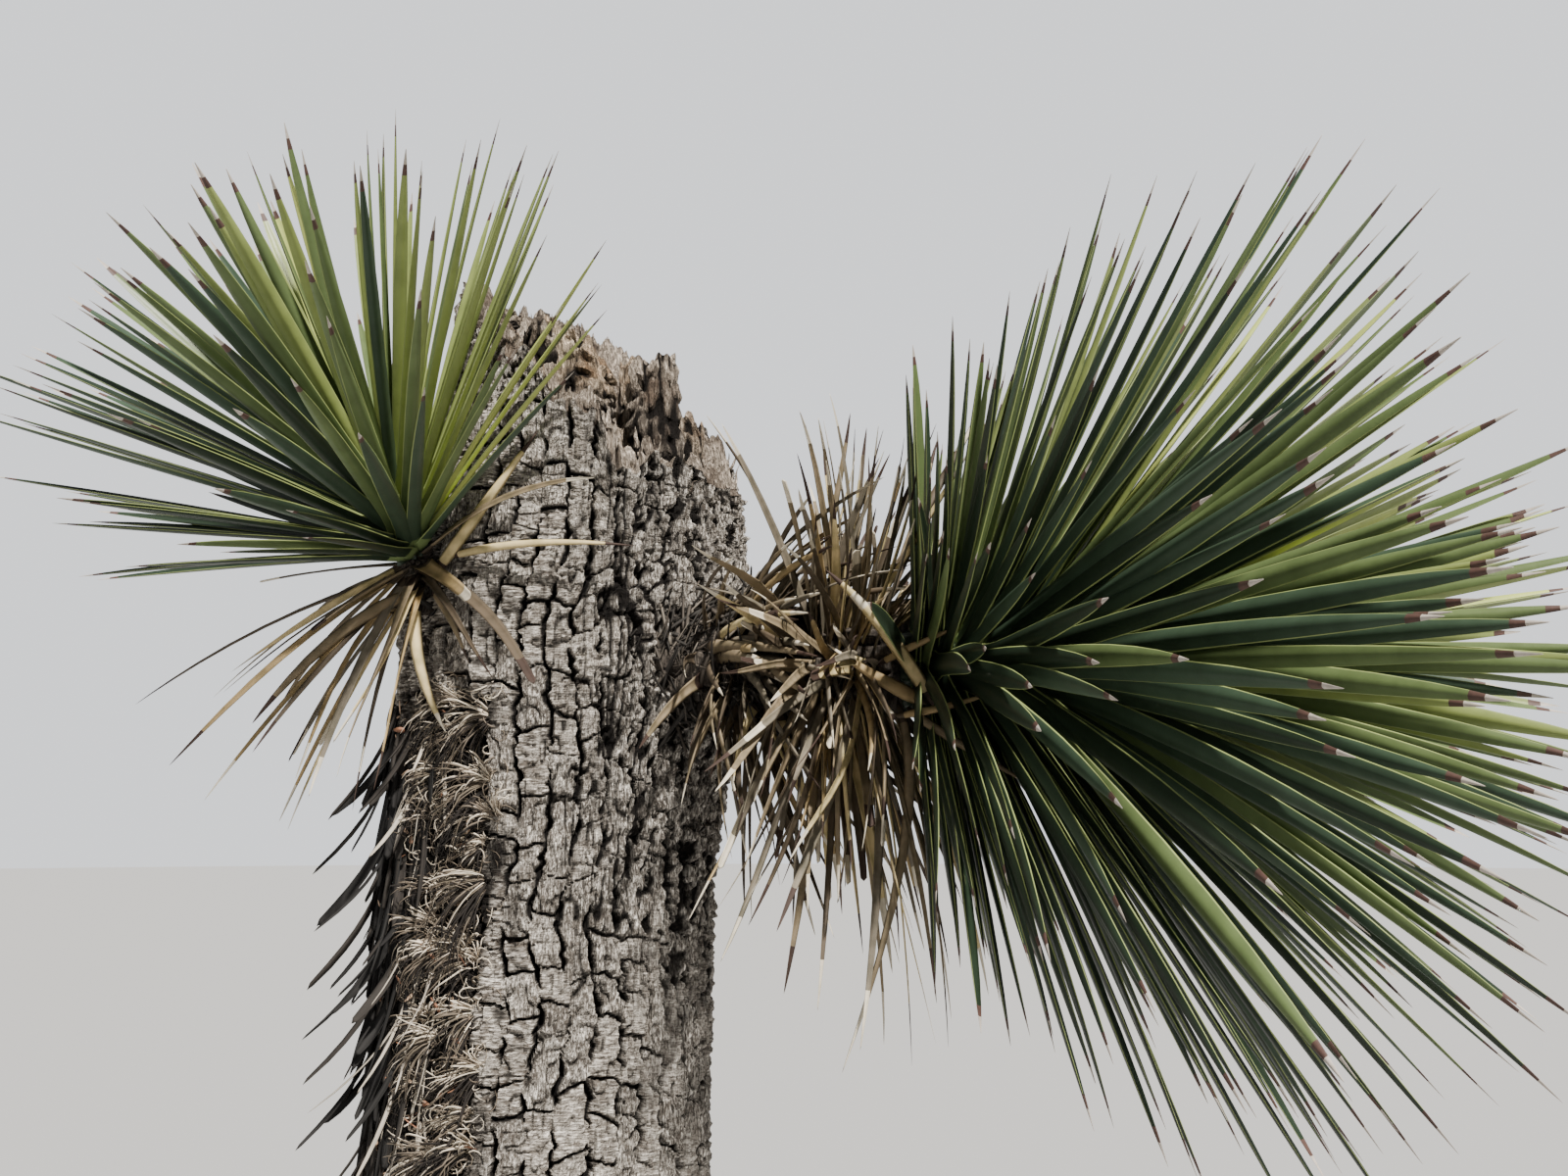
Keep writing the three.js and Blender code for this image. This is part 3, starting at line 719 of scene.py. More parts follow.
def new_material(name, roughness, specular):
    """A material with its shader, ready for colour and bump."""
    material = bpy.data.materials.new(name)
    material.use_nodes = True
    surface = material.node_tree.nodes["Principled BSDF"]
    surface.inputs["Roughness"].default_value = roughness
    surface.inputs["Specular IOR Level"].default_value = specular
    return material, Shader(material.node_tree), surface


def add_bump(shader, surface, height, strength, distance):
    bump = shader.node("ShaderNodeBump", Height=height, Strength=strength, Distance=distance)
    shader.put(surface, "Normal", bump.outputs["Normal"])


def plant_material(name, tone, roughness, mottling, size):
    """A plain tone with a faint mottling."""
    material, shader, surface = new_material(name, roughness, specular=0.4)
    mottled = shader.node("ShaderNodeGroup", {"node_tree": MOTTLING}, Base=tone,
                          Strength=mottling, Size=size)
    shader.put(surface, "Base Color", mottled.outputs["Color"])
    add_bump(shader, surface, mottled.outputs["Grain"], strength=0.15, distance=0.6 * MM)
    return material


def plant_materials(kind):
    """The materials of one kind of plant part, in the order of its tones."""
    return [plant_material(name, colour(*tone), *finish) for name, tone, *finish in TONES[kind]]


def fibre_grain(shader, **sizes):
    return shader.node("ShaderNodeGroup", {"node_tree": FIBRES}, **sizes).outputs


def point_value(shader, name):
    return shader.node("ShaderNodeAttribute", {"attribute_name": name}).outputs["Fac"]


def matted_material():
    """Weathered plant fibre: light strands over dark gaps, with blotches."""
    material, shader, surface = new_material("matted fibre", roughness=0.85, specular=0.2)
    grain = fibre_grain(shader, Fibre_Width=1.3 * MM, Fibre_Length=6 * MM, Blotch_Size=20 * MM)
    strands = shader.mix(grain["Fibres"], MAT_TONES.gap, MAT_TONES.strand)
    dusty = shader.mix(MAT_TONES.dust, strands, MAT_TONES.strand)
    shader.put(surface, "Base Color", shader.mix(grain["Blotches"], strands, dusty))
    add_bump(shader, surface, grain["Fibres"], strength=0.6, distance=1.2 * MM)
    return material


def bark_material():
    """Grey-brown plates in thin level layers and torn upright fibres, with near-black painted shade in the
    fissures and cracks.
    """
    material, shader, surface = new_material("bark plates", roughness=0.88, specular=0.2)
    grain = fibre_grain(shader, Fibre_Width=1.3 * MM, Fibre_Length=6 * MM, Layer_Width=7 * MM,
                        Layer_Height=1.2 * MM, Blotch_Size=10 * MM)
    torn = point_value(shader, "torn")
    plates = shader.mix(point_value(shader, "plate"), BARK_TONES.plate, BARK_TONES.light_plate)
    pale = shader.mix(grain["Blotches"], plates, BARK_TONES.blotch)
    streak = shader.node("ShaderNodeMix", None, _0=torn, _2=grain["Layers"],
                         _3=grain["Fibres"]).outputs[0]
    deep = shader.mix(torn, BARK_TONES.layer_gap, BARK_TONES.fibre_gap)
    # Painted shade: the cut value from the mesh darkens fissures, cracks, splits, ledge lines, torn
    # grooves and the bark under the strip towards the fissure tone.
    cut = shader.range(point_value(shader, "cut"), low=0.1, high=0.75)
    streaked = shader.mix(streak, deep, pale)
    shader.put(surface, "Base Color", shader.mix(cut, streaked, BARK_TONES.fissure))
    add_bump(shader, surface, streak, strength=1.0, distance=1.8 * MM)
    return material


def torn_wood_material():
    """Torn wood: weathered grey-brown, tan where it broke last, with black painted shade in its hollows,
    low places and crag grooves and feet.
    """
    material, shader, surface = new_material("torn wood", roughness=0.88, specular=0.15)
    grain = fibre_grain(shader, Fibre_Width=1.6 * MM, Fibre_Length=9 * MM, Blotch_Size=30 * MM)
    weathered = shader.mix(grain["Blotches"], WOOD_TONES.weathered, WOOD_TONES.light_weathered)
    fresh = shader.mix(grain["Blotches"], WOOD_TONES.fresh, WOOD_TONES.light_fresh)
    wood = shader.mix(point_value(shader, "fresh"), weathered, fresh)
    gap = shader.mix(WOOD_TONES.gap_share, wood, WOOD_TONES.gap)
    streaked = shader.mix(grain["Fibres"], gap, wood)
    # Painted shade: the hollow value darkens the wood towards the hollow tone.
    hollow = shader.range(point_value(shader, "hollow"), low=0.25, high=0.9)
    shader.put(surface, "Base Color", shader.mix(hollow, streaked, WOOD_TONES.hollow))
    add_bump(shader, surface, grain["Fibres"], strength=0.9, distance=2 * MM)
    return material


# Bark: columns of plates, parted by upright fissures and by thinner level cracks. A wander
# has its share of a column, lump height, width in columns and seed. A layer of noise, such
# as the chips, has its lumps in a turn, their height and its seed.

BARK = Sizes(
    columns=38,
    wanders=[(0.36, 62 * MM, 2, 21), (0.11, 14 * MM, 1, 22), (0.08, 4 * MM, 1, 25)],
    fissure_half_width=1.8 * MM,
    fissure_depth=9.5 * MM,
    fissure_length=14 * MM,
    fissure_size=0.7,
    fissure_shift=7,
    fissure_floor=0.25,
    fissure_change=1.1,
    fissure_sizes=(0.02, 1.25),
    fissure_flank=(0.3, 1.3),
    plate_height=32 * MM,
    plate_jitter=0.4,
    plate_shift=9,
    plate_lift=3.4 * MM,
    plate_tilt=3 * MM,
    crack_half_width=1.25 * MM,
    crack_depth=5 * MM,
    crack_flank=(0.2, 1.3),
    crack_wobble=0.06,
    crack_wobble_height=6 * MM,
    crack_slant=0.6,
    crack_sizes=(0.5, 1.4),
    closed_cracks=0.18,
    edge_round=1.2 * MM,
    edge_round_width=1.8 * MM,
    split_patches=(60, 13 * MM, 34),
    upright_splits=(104, 21 * MM, 33),
    upright_split_patch=(-0.5, 0.3),
    upright_split_edge=(0.2, 0.02),
    upright_split_ragged=(0.75, 1.25),
    upright_split_depth=3.2 * MM,
    level_splits=(52, 7 * MM, 31),
    level_split_patch=(0.4, -0.4),
    level_split_edge=(0.22, 0.02),
    level_split_ragged=(1, 0.2),
    level_split_depth=2.2 * MM,
    chips=(200, 3.6 * MM, 35),
    chip_depth=1.2 * MM,
    chip_growth=1.4,
    fibres=(330, 9 * MM, 30),
    fibre_depth=0.6 * MM,
    fibre_growth=2,
    ledge_height=4.6 * MM,
    ledge_depth=1.4 * MM,
    ledge_shift=5,
    ledge_least=0.2,
    ledge_power=1.5,
    ledge_wobble_height=9 * MM,
    ledge_wobble=0.5,
    ledge_line=(0.6, 0.95),
    ledged_plates=(0.3, 0.6),
    grooves=(150, 54 * MM, 39),
    groove_edge=(0.24, 0.03),
    groove_depth=5 * MM,
    fine_grooves=(240, 28 * MM, 40),
    fine_groove_edge=(0.3, 0.05),
    fine_groove_depth=3.2 * MM,
    torn_lumps=(38, 64 * MM, 41),
    torn_lump_depth=1.6 * MM,
    grit=0.9 * MM,
    ragged_crack_loss=0.4,
    ragged_angle=math.radians(-25),
    ragged_side=(0.25, 1.0),
    ragged_low_share=0.3,
    ragged_rise=(1.36, 1.56),
    ragged_top=(1.80, 1.90),
    swell=8 * MM,
    swell_reach=(86 * MM, 50 * MM),
    proud=3.5 * MM,
    ground_fade=8 * MM,
    seed=21,
)

# How much painted shade each kind of cut and the bark under the strip of old leaf bases gets, from 0 to 1,
# and what each plate's tone is made of
BARK_SHADE = Sizes(
    crack=0.95,
    upright_split=0.7,
    level_split=0.6,
    ledge=0.3,
    fine_groove=0.6,
    strip=0.9,
    plate_share=0.75,
    chip_share=0.25,
    torn_loss=0.15,
)

BARK_BANDS = [
    Sizes(name="trunk_bark_foot", low=0.0, high=0.52, around=420, rows=150),
    Sizes(name="trunk_bark_shin", low=0.52, high=1.16, around=420, rows=210),
    Sizes(name="trunk_bark_waist", low=1.16, high=1.36, around=660, rows=140),
    Sizes(name="trunk_bark_chest", low=1.36, high=1.56, around=660, rows=140),
    Sizes(name="trunk_bark_shoulder", low=1.56, high=1.74, around=660, rows=128),
    Sizes(name="trunk_bark_top", low=1.74, high=None, around=660, rows=128),
]


def bark_random(first, second, step):
    """A fixed random number from 0 to 1 for a place in the bark, another for each step."""
    return hashed(first, second, BARK.seed + step)


def bark_columns(angle, height):
    """Which column of plates a point is in, and its share of the way across."""
    place = angle / TAU * BARK.columns
    wandered = place
    for share, lump_height, width, seed in BARK.wanders:
        noise = lattice_noise(place / width, height / lump_height, seed, BARK.columns // width)
        wandered = wandered + share * noise
    return np.mod(np.floor(wandered), BARK.columns), wandered - np.floor(wandered)


def bark_fissures(column, across, height):
    """Upright fissures on both sides of a column, wide and narrow by turns."""
    column_size = TAU * TRUNK.chest_radius / BARK.columns

    def fissure(edge, distance):
        edge = np.mod(edge, BARK.columns)
        place = height / BARK.fissure_length + BARK.fissure_shift * bark_random(edge, 1, 0)
        change = BARK.fissure_change * lattice_noise(edge * 3.0, place, BARK.seed + 2)
        size = np.clip(BARK.fissure_size + change, *BARK.fissure_sizes)
        gap = distance / (BARK.fissure_half_width * size)
        return (1 - smoothstep(gap, *BARK.fissure_flank)) * np.minimum(1, size + BARK.fissure_floor)

    left = fissure(column, across * column_size)
    right = fissure(column + 1, (1 - across) * column_size)
    border = np.minimum(across, 1 - across) * column_size
    return np.maximum(left, right), border


def bark_cracks(column, across, height):
    """Level cracks between the plates of a column, and which plate a point is on."""
    wobble = lattice_noise(column * 5 + across * 3, height / BARK.crack_wobble_height, BARK.seed + 3)
    slant = (across - 0.5) * (bark_random(column, 2, 0) - 0.5) * BARK.crack_slant
    level = height / BARK.plate_height + BARK.plate_shift * bark_random(column, 3, 0)
    level = level + BARK.crack_wobble * wobble + slant
    row = np.floor(level)
    plate = row.copy()
    border = np.full_like(level, 1.0)
    cracks = np.zeros_like(level)
    for number in (row - 1, row, row + 1):
        jitter = 2 * bark_random(column, number, 5) - 1
        edge = number + 0.5 + BARK.plate_jitter * jitter
        strength = bark_random(column, number, 6)
        size = np.where(strength < BARK.closed_cracks, 0.0, lerp(*BARK.crack_sizes, strength))
        distance = np.abs(level - edge) * BARK.plate_height
        gap = distance / (BARK.crack_half_width * np.maximum(size, 0.01))
        crack = (1 - smoothstep(gap, *BARK.crack_flank)) * np.minimum(1, size)
        cracks = np.maximum(cracks, crack)
        border = np.where(size > 0, np.minimum(border, distance), border)
        plate = np.where((level > edge) & (size > 0), number + 1, plate)
    return cracks, border, plate


def bark_raggedness(angle, height):
    """How far plates give way to torn upright fibres: at the right and near the break."""
    at_right = smoothstep(np.cos(angle - BARK.ragged_angle), *BARK.ragged_side)
    at_right = at_right * lerp(BARK.ragged_low_share, 1, smoothstep(height, *BARK.ragged_rise))
    return np.maximum(at_right, smoothstep(height, *BARK.ragged_top))


def bark_layer(turn, height, layer):
    """One layer of noise over the bark."""
    lumps, lump_height, seed = layer
    return ring_noise(turn, height / lump_height, lumps, seed)


def bark_splits(turn, height, ragged):
    """Thin upright and level splits in the plates, each in patches."""
    patch = bark_layer(turn, height, BARK.split_patches)
    upright = np.abs(bark_layer(turn, height, BARK.upright_splits))
    level = np.abs(bark_layer(turn, height, BARK.level_splits))
    upright_share = smoothstep(patch, *BARK.upright_split_patch) * lerp(*BARK.upright_split_ragged, ragged)
    level_share = smoothstep(patch, *BARK.level_split_patch) * lerp(*BARK.level_split_ragged, ragged)
    return (smoothstep(upright, *BARK.upright_split_edge) * upright_share,
            smoothstep(level, *BARK.level_split_edge) * level_share)


def bark_ledges(column, plate, across, height):
    """Thin level ledges, like the edges of stacked pages, set off from plate to plate, and a line of
    painted shade under each ledge's lip.
    """
    wobble = lattice_noise(column * 7 + across * 2.5, height / BARK.ledge_wobble_height, BARK.seed + 16)
    level = height / BARK.ledge_height + BARK.ledge_shift * bark_random(column, plate, 15)
    level = level + BARK.ledge_wobble * wobble
    share = level - np.floor(level)
    size = BARK.ledge_least + bark_random(column * 3 + 1, np.floor(level), 17)
    return size * share ** BARK.ledge_power, size * smoothstep(share, *BARK.ledge_line)


def bark_grooves(turn, height):
    """Upright grooves between torn fibres, in two sizes, and the lumps that they part."""
    coarse = np.abs(bark_layer(turn, height, BARK.grooves))
    fine = np.abs(bark_layer(turn, height, BARK.fine_grooves))
    lumps = bark_layer(turn, height, BARK.torn_lumps)
    return (smoothstep(coarse, *BARK.groove_edge), smoothstep(fine, *BARK.fine_groove_edge),
            0.5 + 0.5 * lumps)


def bark_relief(angle, height):
    """Depth below the outermost bark, painted shade in its cuts and torn grooves, a tone for each plate,
    and how torn.
    """
    turn = angle / TAU
    column, across = bark_columns(angle, height)
    fissures, side_border = bark_fissures(column, across, height)
    cracks, end_border, plate = bark_cracks(column, across, height)
    ragged = bark_raggedness(angle, height)
    cracks = cracks * (1 - BARK.ragged_crack_loss * ragged)
    upright, level = bark_splits(turn, height, ragged)
    ledges, ledge_lines = bark_ledges(column, plate, across, height)
    coarse, thin, lumps = bark_grooves(turn, height)
    chips = bark_layer(turn, height, BARK.chips)
    fibres = bark_layer(turn, height, BARK.fibres)
    plated = smoothstep(bark_random(column, plate, 21), *BARK.ledged_plates) * (1 - ragged)

    border = np.minimum(side_border, end_border)
    cut = np.maximum.reduce([BARK.fissure_depth * fissures, BARK.crack_depth * cracks,
                             BARK.upright_split_depth * upright, BARK.level_split_depth * level])
    torn = BARK.groove_depth * coarse + BARK.fine_groove_depth * thin + BARK.torn_lump_depth * lumps
    depth = sum([
        BARK.plate_lift * bark_random(column, plate, 7),
        BARK.plate_tilt * (across - 0.5) * (bark_random(column, plate, 8) - 0.5),
        BARK.edge_round * np.exp(-border / BARK.edge_round_width),
        BARK.chip_depth * (1 + BARK.chip_growth * ragged) * chips,
        BARK.fibre_depth * (1 + BARK.fibre_growth * ragged) * fibres,
        BARK.ledge_depth * ledges * plated,
        BARK.grit * (bark_random(angle * 977, height * 9241, 22) - 0.5),
        cut,
        ragged * torn,
    ])
    # Painted shade: darkest in fissures and cracks, less in splits, ledge lines and torn grooves.
    shade = np.maximum.reduce([
        fissures, BARK_SHADE.crack * cracks, BARK_SHADE.upright_split * upright,
        BARK_SHADE.level_split * level, BARK_SHADE.ledge * ledge_lines * plated,
        ragged * coarse, BARK_SHADE.fine_groove * ragged * thin,
    ])
    tone = BARK_SHADE.plate_share * bark_random(column, plate, 11)
    tone = tone + BARK_SHADE.chip_share * (0.5 + 0.5 * chips)
    return depth, shade, tone * (1 - BARK_SHADE.torn_loss * ragged), 1 - plated


def swell_at_bough(points):
    """How far the bark swells out round the foot of the bough."""
    root, tip = BOUGH.path[0], BOUGH.path[-1]
    run = tip - root
    share = np.clip(((points - root) @ run) / (run @ run), 0, 1)
    away = np.linalg.norm(points - (root + share[..., None] * run), axis=-1)
    return BARK.swell * smoothstep(away, *BARK.swell_reach)


def strip_low_end(angle):
    """Where the strip of old leaf bases ends above the ground, raggedly."""
    noise = lattice_noise(angle * STRIP.ragged_lumps, 0 * angle, 83)
    return STRIP.low + STRIP.ragged_end * (0.5 + 0.5 * noise)


def under_strip(angle, height):
    """1 where the old leaf bases cover the bark, 0 elsewhere."""
    fade = STRIP.edge_fade
    wander = lattice_noise(angle * STRIP.edge_lumps, height / STRIP.edge_wander_height, 84)
    turn = np.mod(angle, TAU) + STRIP.edge_wander * wander
    thick = smoothstep(turn, STRIP.tuft_back_angle - 2 * fade, STRIP.tuft_back_angle)
    low = height - strip_low_end(angle)
    high = height - STRIP.high
    return (smoothstep(turn, STRIP.back_angle, STRIP.back_angle + 3 * fade)
            * lerp(STRIP.flank_cover, 1.0, thick)
            * smoothstep(turn, STRIP.front_angle + fade, STRIP.front_angle - fade)
            * smoothstep(low, *STRIP.low_fade) * smoothstep(high, *STRIP.high_fade))


def make_bark_band(band, material):
    """One band of the bark, closed by the flat cut where it stands on the ground."""
    angle = (np.arange(band.around) / band.around * TAU)[None, :]
    share = np.linspace(0, 1, band.rows + 1)[:, None]
    top = jagged_rim(angle) if band.high is None else band.high
    height = lerp(band.low, top, share) + 0 * angle
    angle = angle + 0 * height
    depth, cut, tone, torn = bark_relief(angle, height)
    outward = BARK.proud - depth * smoothstep(height, 0, BARK.ground_fade)
    outward = outward + swell_at_bough(trunk_points(height, angle, 0))
    points = trunk_points(height, angle, outward).reshape(-1, 3)
    # Painted shade on the bark under the strip of old leaf bases, fainter on the flank.
    cut = np.maximum(cut, BARK_SHADE.strip * under_strip(angle, height))
    values = {"cut": cut, "plate": tone, "torn": torn}
    triangles = []
    if band.low == 0:
        triangles = fan(len(points), 0, band.around, turned=True)
        points = np.vstack([points, [[0, 0, 0]]])
        values = {name: np.append(value, 0.5) for name, value in values.items()}
    quads = grid_quads(band.rows + 1, band.around)
    piece = new_piece(band.name, points, quads, triangles, [material], smooth=False)
    for name, value in values.items():
        set_point_values(piece, name, value)
    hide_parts("trunk")


# The broken top

TOP = Sizes(
    around=600,
    rings=56,
    ring_crowding=0.85,
    teeth=34,
    tooth_height=8 * MM,
    blocks=46,
    block_height=4 * MM,
    needles=150,
    needle_height=3 * MM,
    notch_angle=math.radians(294),
    notch_reach=(math.radians(11), math.radians(4)),
    notch_depth=12 * MM,
    ridge_spans=(18 * MM, 14 * MM),
    ridge_height=11 * MM,
    shard_spans=(5.4 * MM, 4.4 * MM),
    shard_height=7 * MM,
    grain_spans=(2.1 * MM, 2.1 * MM),
    grain_height=1.6 * MM,
    fresh_centre=(36 * MM, -44 * MM),
    fresh_size=46 * MM,
    fresh_spans=(14 * MM, 14 * MM),
    fresh_reach=1.15,
    fresh_wander=0.35,
    rim_blend=0.1,
    hollow_edge=(1.15, 0.7),
    # Painted shade in the low places of the torn face
    dark_lows=(0.05, -0.45),
    dark_low_share=0.8,
)
SPLINTER = Sizes(
    count=220,
    inward=0.75,
    crowding=2.2,
    inset=4 * MM,
    root=8 * MM,
    length=15 * MM,
    lengths=(0.6, 1.5),
    width=4.6 * MM,
    widths=(0.6, 1.4),
    lean=0.22,
    wobble=0.5 * MM,
    twist=0.8,
    seed=95,
)
HOLLOWS = [
    Sizes(centre=(81 * MM, -72 * MM), half=(13 * MM, 21 * MM), depth=40 * MM),
    Sizes(centre=(112 * MM, -62 * MM), half=(9 * MM, 9 * MM), depth=16 * MM),
]

# Upright crags of torn wood. Those that face the front are listed one by one, in millimetres, and
# the rest by a rule. A layer of noise has its lumps round the crag and up its side.
CRAG = Sizes(
    around=96,
    side_rows=34,
    cap_rows=10,
    cap_reach=(0.9, 0.08),
    side_reach=(1.15, 0.92),
    foot=30 * MM,
    least_height=5 * MM,
    lobes=(5, 1.4),
    lobe_depth=0.14,
    flutes=(13, 2.2),
    flute_depth=0.208,
    flute_middle=0.4,
    fine_flutes=(37, 5),
    fine_flute_depth=0.06,
    chips=(15, 13),
    chip_depth=0.14,
    lump_spans=(9 * MM, 8 * MM),
    lump_height=8 * MM,
    shard_spans=(4 * MM, 3.4 * MM),
    shard_height=5 * MM,
    by_rule=15,
    rule_start=math.radians(-20),
    rule_sweep=math.radians(262),
    rule_reach=(0.66, 0.84),
    rule_half=(8 * MM, 17 * MM),
    rule_drop=(-22 * MM, -6 * MM),
    rule_shift=0.3,
    rule_tilt=0.3,
    rule_dark=0.4,
    fresh_least=0.75,
    fresh_lobes=0.5,
    fresh_rise=(0.1, 0.7),
    groove_shade=0.5,
    groove_edge=(0.22, 0.04),
    foot_shade=0.5,
    foot_edge=(0.8, 0.45),
    chip_shade=0.4,
    chip_edge=(0.1, -0.6),
    shard_shade=0.5,
    shard_edge=(0, -0.6),
    seed=140,
)
FRONT_CRAGS = [
    Sizes(centre=(45, -52), half=(23, 27), top=1901, tilt=(-0.7, 0.1), fresh=1.2, dark=0.0),
    Sizes(centre=(20, -58), half=(17, 22), top=1909, tilt=(-0.1, 0.1), fresh=0.15, dark=0.42),
    Sizes(centre=(101, -46), half=(20, 20), top=1886, tilt=(0.1, 0.1), fresh=0.05, dark=0.12),
    Sizes(centre=(80, -14), half=(9, 10), top=1896, tilt=(0.1, 0.2), fresh=0.8, dark=0.0),
    Sizes(centre=(124, -32), half=(11, 13), top=1846, tilt=(-0.5, 0.0), fresh=0.5, dark=0.0),
]
SPLINTER_SECTION = np.array([[-1, 0.1], [-0.5, 0.45], [0.45, 0.4], [1, 0], [0.5, -0.4], [-0.4, -0.35]])
SPLINTER_WIDTHS = np.array([1.0, 0.95, 0.85, 0.62, 0.4, 0.12])


def jagged_rim(angle):
    """The rim's height: the break with teeth, steps, needles and one notch."""
    turn = angle / TAU
    teeth = ring_noise(turn, 0 * angle, TOP.teeth, 31)
    needles = ring_noise(turn, 5 + 0 * angle, TOP.needles, 32)
    blocks = 2 * hashed(np.floor(turn * TOP.blocks), 0, 33) - 1
    rough = TOP.tooth_height * teeth + TOP.block_height * blocks + TOP.needle_height * needles
    from_notch = np.abs(angle_from(TOP.notch_angle, angle))
    return rim_height(angle) + rough - TOP.notch_depth * smoothstep(from_notch, *TOP.notch_reach)


def hollow_share(x, y):
    """How deep a point of the plan lies in a hollow, and how far that sinks it."""
    share = 0 * x
    sunk = 0 * x
    for hollow in HOLLOWS:
        away = np.hypot((x - hollow.centre[0]) / hollow.half[0], (y - hollow.centre[1]) / hollow.half[1])
        inside = smoothstep(away, *TOP.hollow_edge)
        share = np.maximum(share, inside)
        sunk = np.maximum(sunk, inside * hollow.depth)
    return share, sunk


def fresh_share(x, y):
    """How freshly torn the wood is: most at the front, a little left of the middle."""
    far = np.hypot(x - TOP.fresh_centre[0], y - TOP.fresh_centre[1]) / TOP.fresh_size
    wander = TOP.fresh_wander * plan_noise(x, y, TOP.fresh_spans, 47)
    return np.clip(TOP.fresh_reach - far + wander, 0, 1)


def make_broken_top(material):
    """The torn face inside the rim, sunk in the middle, with hollows, and painted shade in the hollows and
    low places.
    """
    angle = np.arange(TOP.around) / TOP.around * TAU
    rim_z = jagged_rim(angle)
    rim = trunk_points(rim_z, angle, BARK.proud - bark_relief(angle, rim_z)[0])
    middle = trunk_axis_x(TRUNK.top_height)
    share = np.linspace(1, 0, TOP.rings + 1)[:-1, None] ** TOP.ring_crowding
    x = lerp(middle, rim[None, :, 0], share)
    y = lerp(0.0, rim[None, :, 1], share)
    ridges = 1 - 2 * np.abs(plan_noise(x, y, TOP.ridge_spans, 41))
    shards = plan_noise(x, y, TOP.shard_spans, 42)
    grains = plan_noise(x, y, TOP.grain_spans, 43)
    hollow, hollow_depth = hollow_share(x, y)
    rough = TOP.ridge_height * ridges + TOP.shard_height * shards + TOP.grain_height * grains
    sunk = BREAK.sunk_centre * (1 - share * share) + hollow_depth
    inside = smoothstep(1 - share, 0, TOP.rim_blend)
    z = lerp(rim[None, :, 2], break_height(x, y) - sunk + rough, inside)
    points = np.stack([x, y, z], -1).reshape(-1, 3)
    triangles = fan(len(points), (TOP.rings - 1) * TOP.around, TOP.around)
    points = np.vstack([points, [[middle, 0, z[-1].mean()]]])
    quads = grid_quads(TOP.rings, TOP.around)
    piece = new_piece("broken_top", points, quads, triangles, [material], smooth=False)
    # Painted shade: the hollows and the lowest parts of the rough face are darkened.
    low = smoothstep(rough / (TOP.ridge_height + TOP.shard_height), *TOP.dark_lows)
    dark = np.clip(hollow + TOP.dark_low_share * low, 0, 1)
    set_point_values(piece, "hollow", np.append(dark, 0.5))
    set_point_values(piece, "fresh", np.append(fresh_share(x, y), 0.3))
    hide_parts("trunk")


def ruled_crags(random):
    """Smaller crags along the rim, all the way round except where the front ones stand."""
    crags = []
    middle = trunk_axis_x(TRUNK.top_height)
    for number in range(CRAG.by_rule):
        place = (number + random.uniform(-CRAG.rule_shift, CRAG.rule_shift)) / CRAG.by_rule
        angle = CRAG.rule_start + place * CRAG.rule_sweep
        reach = random.uniform(*CRAG.rule_reach) * TRUNK.top_radius
        x = middle + math.cos(angle) * reach
        y = math.sin(angle) * reach
        half = random.uniform(*CRAG.rule_half, 2)
        top = break_height(x, y) + random.uniform(*CRAG.rule_drop)
        tilt = random.uniform(-CRAG.rule_tilt, CRAG.rule_tilt, 2)
        fresh = random.choice([0.0, 0.2, 0.6])
        dark = random.uniform(0, CRAG.rule_dark)
        crags.append(Sizes(centre=(x, y), half=half, top=top, tilt=tilt, fresh=fresh, dark=dark))
    return crags


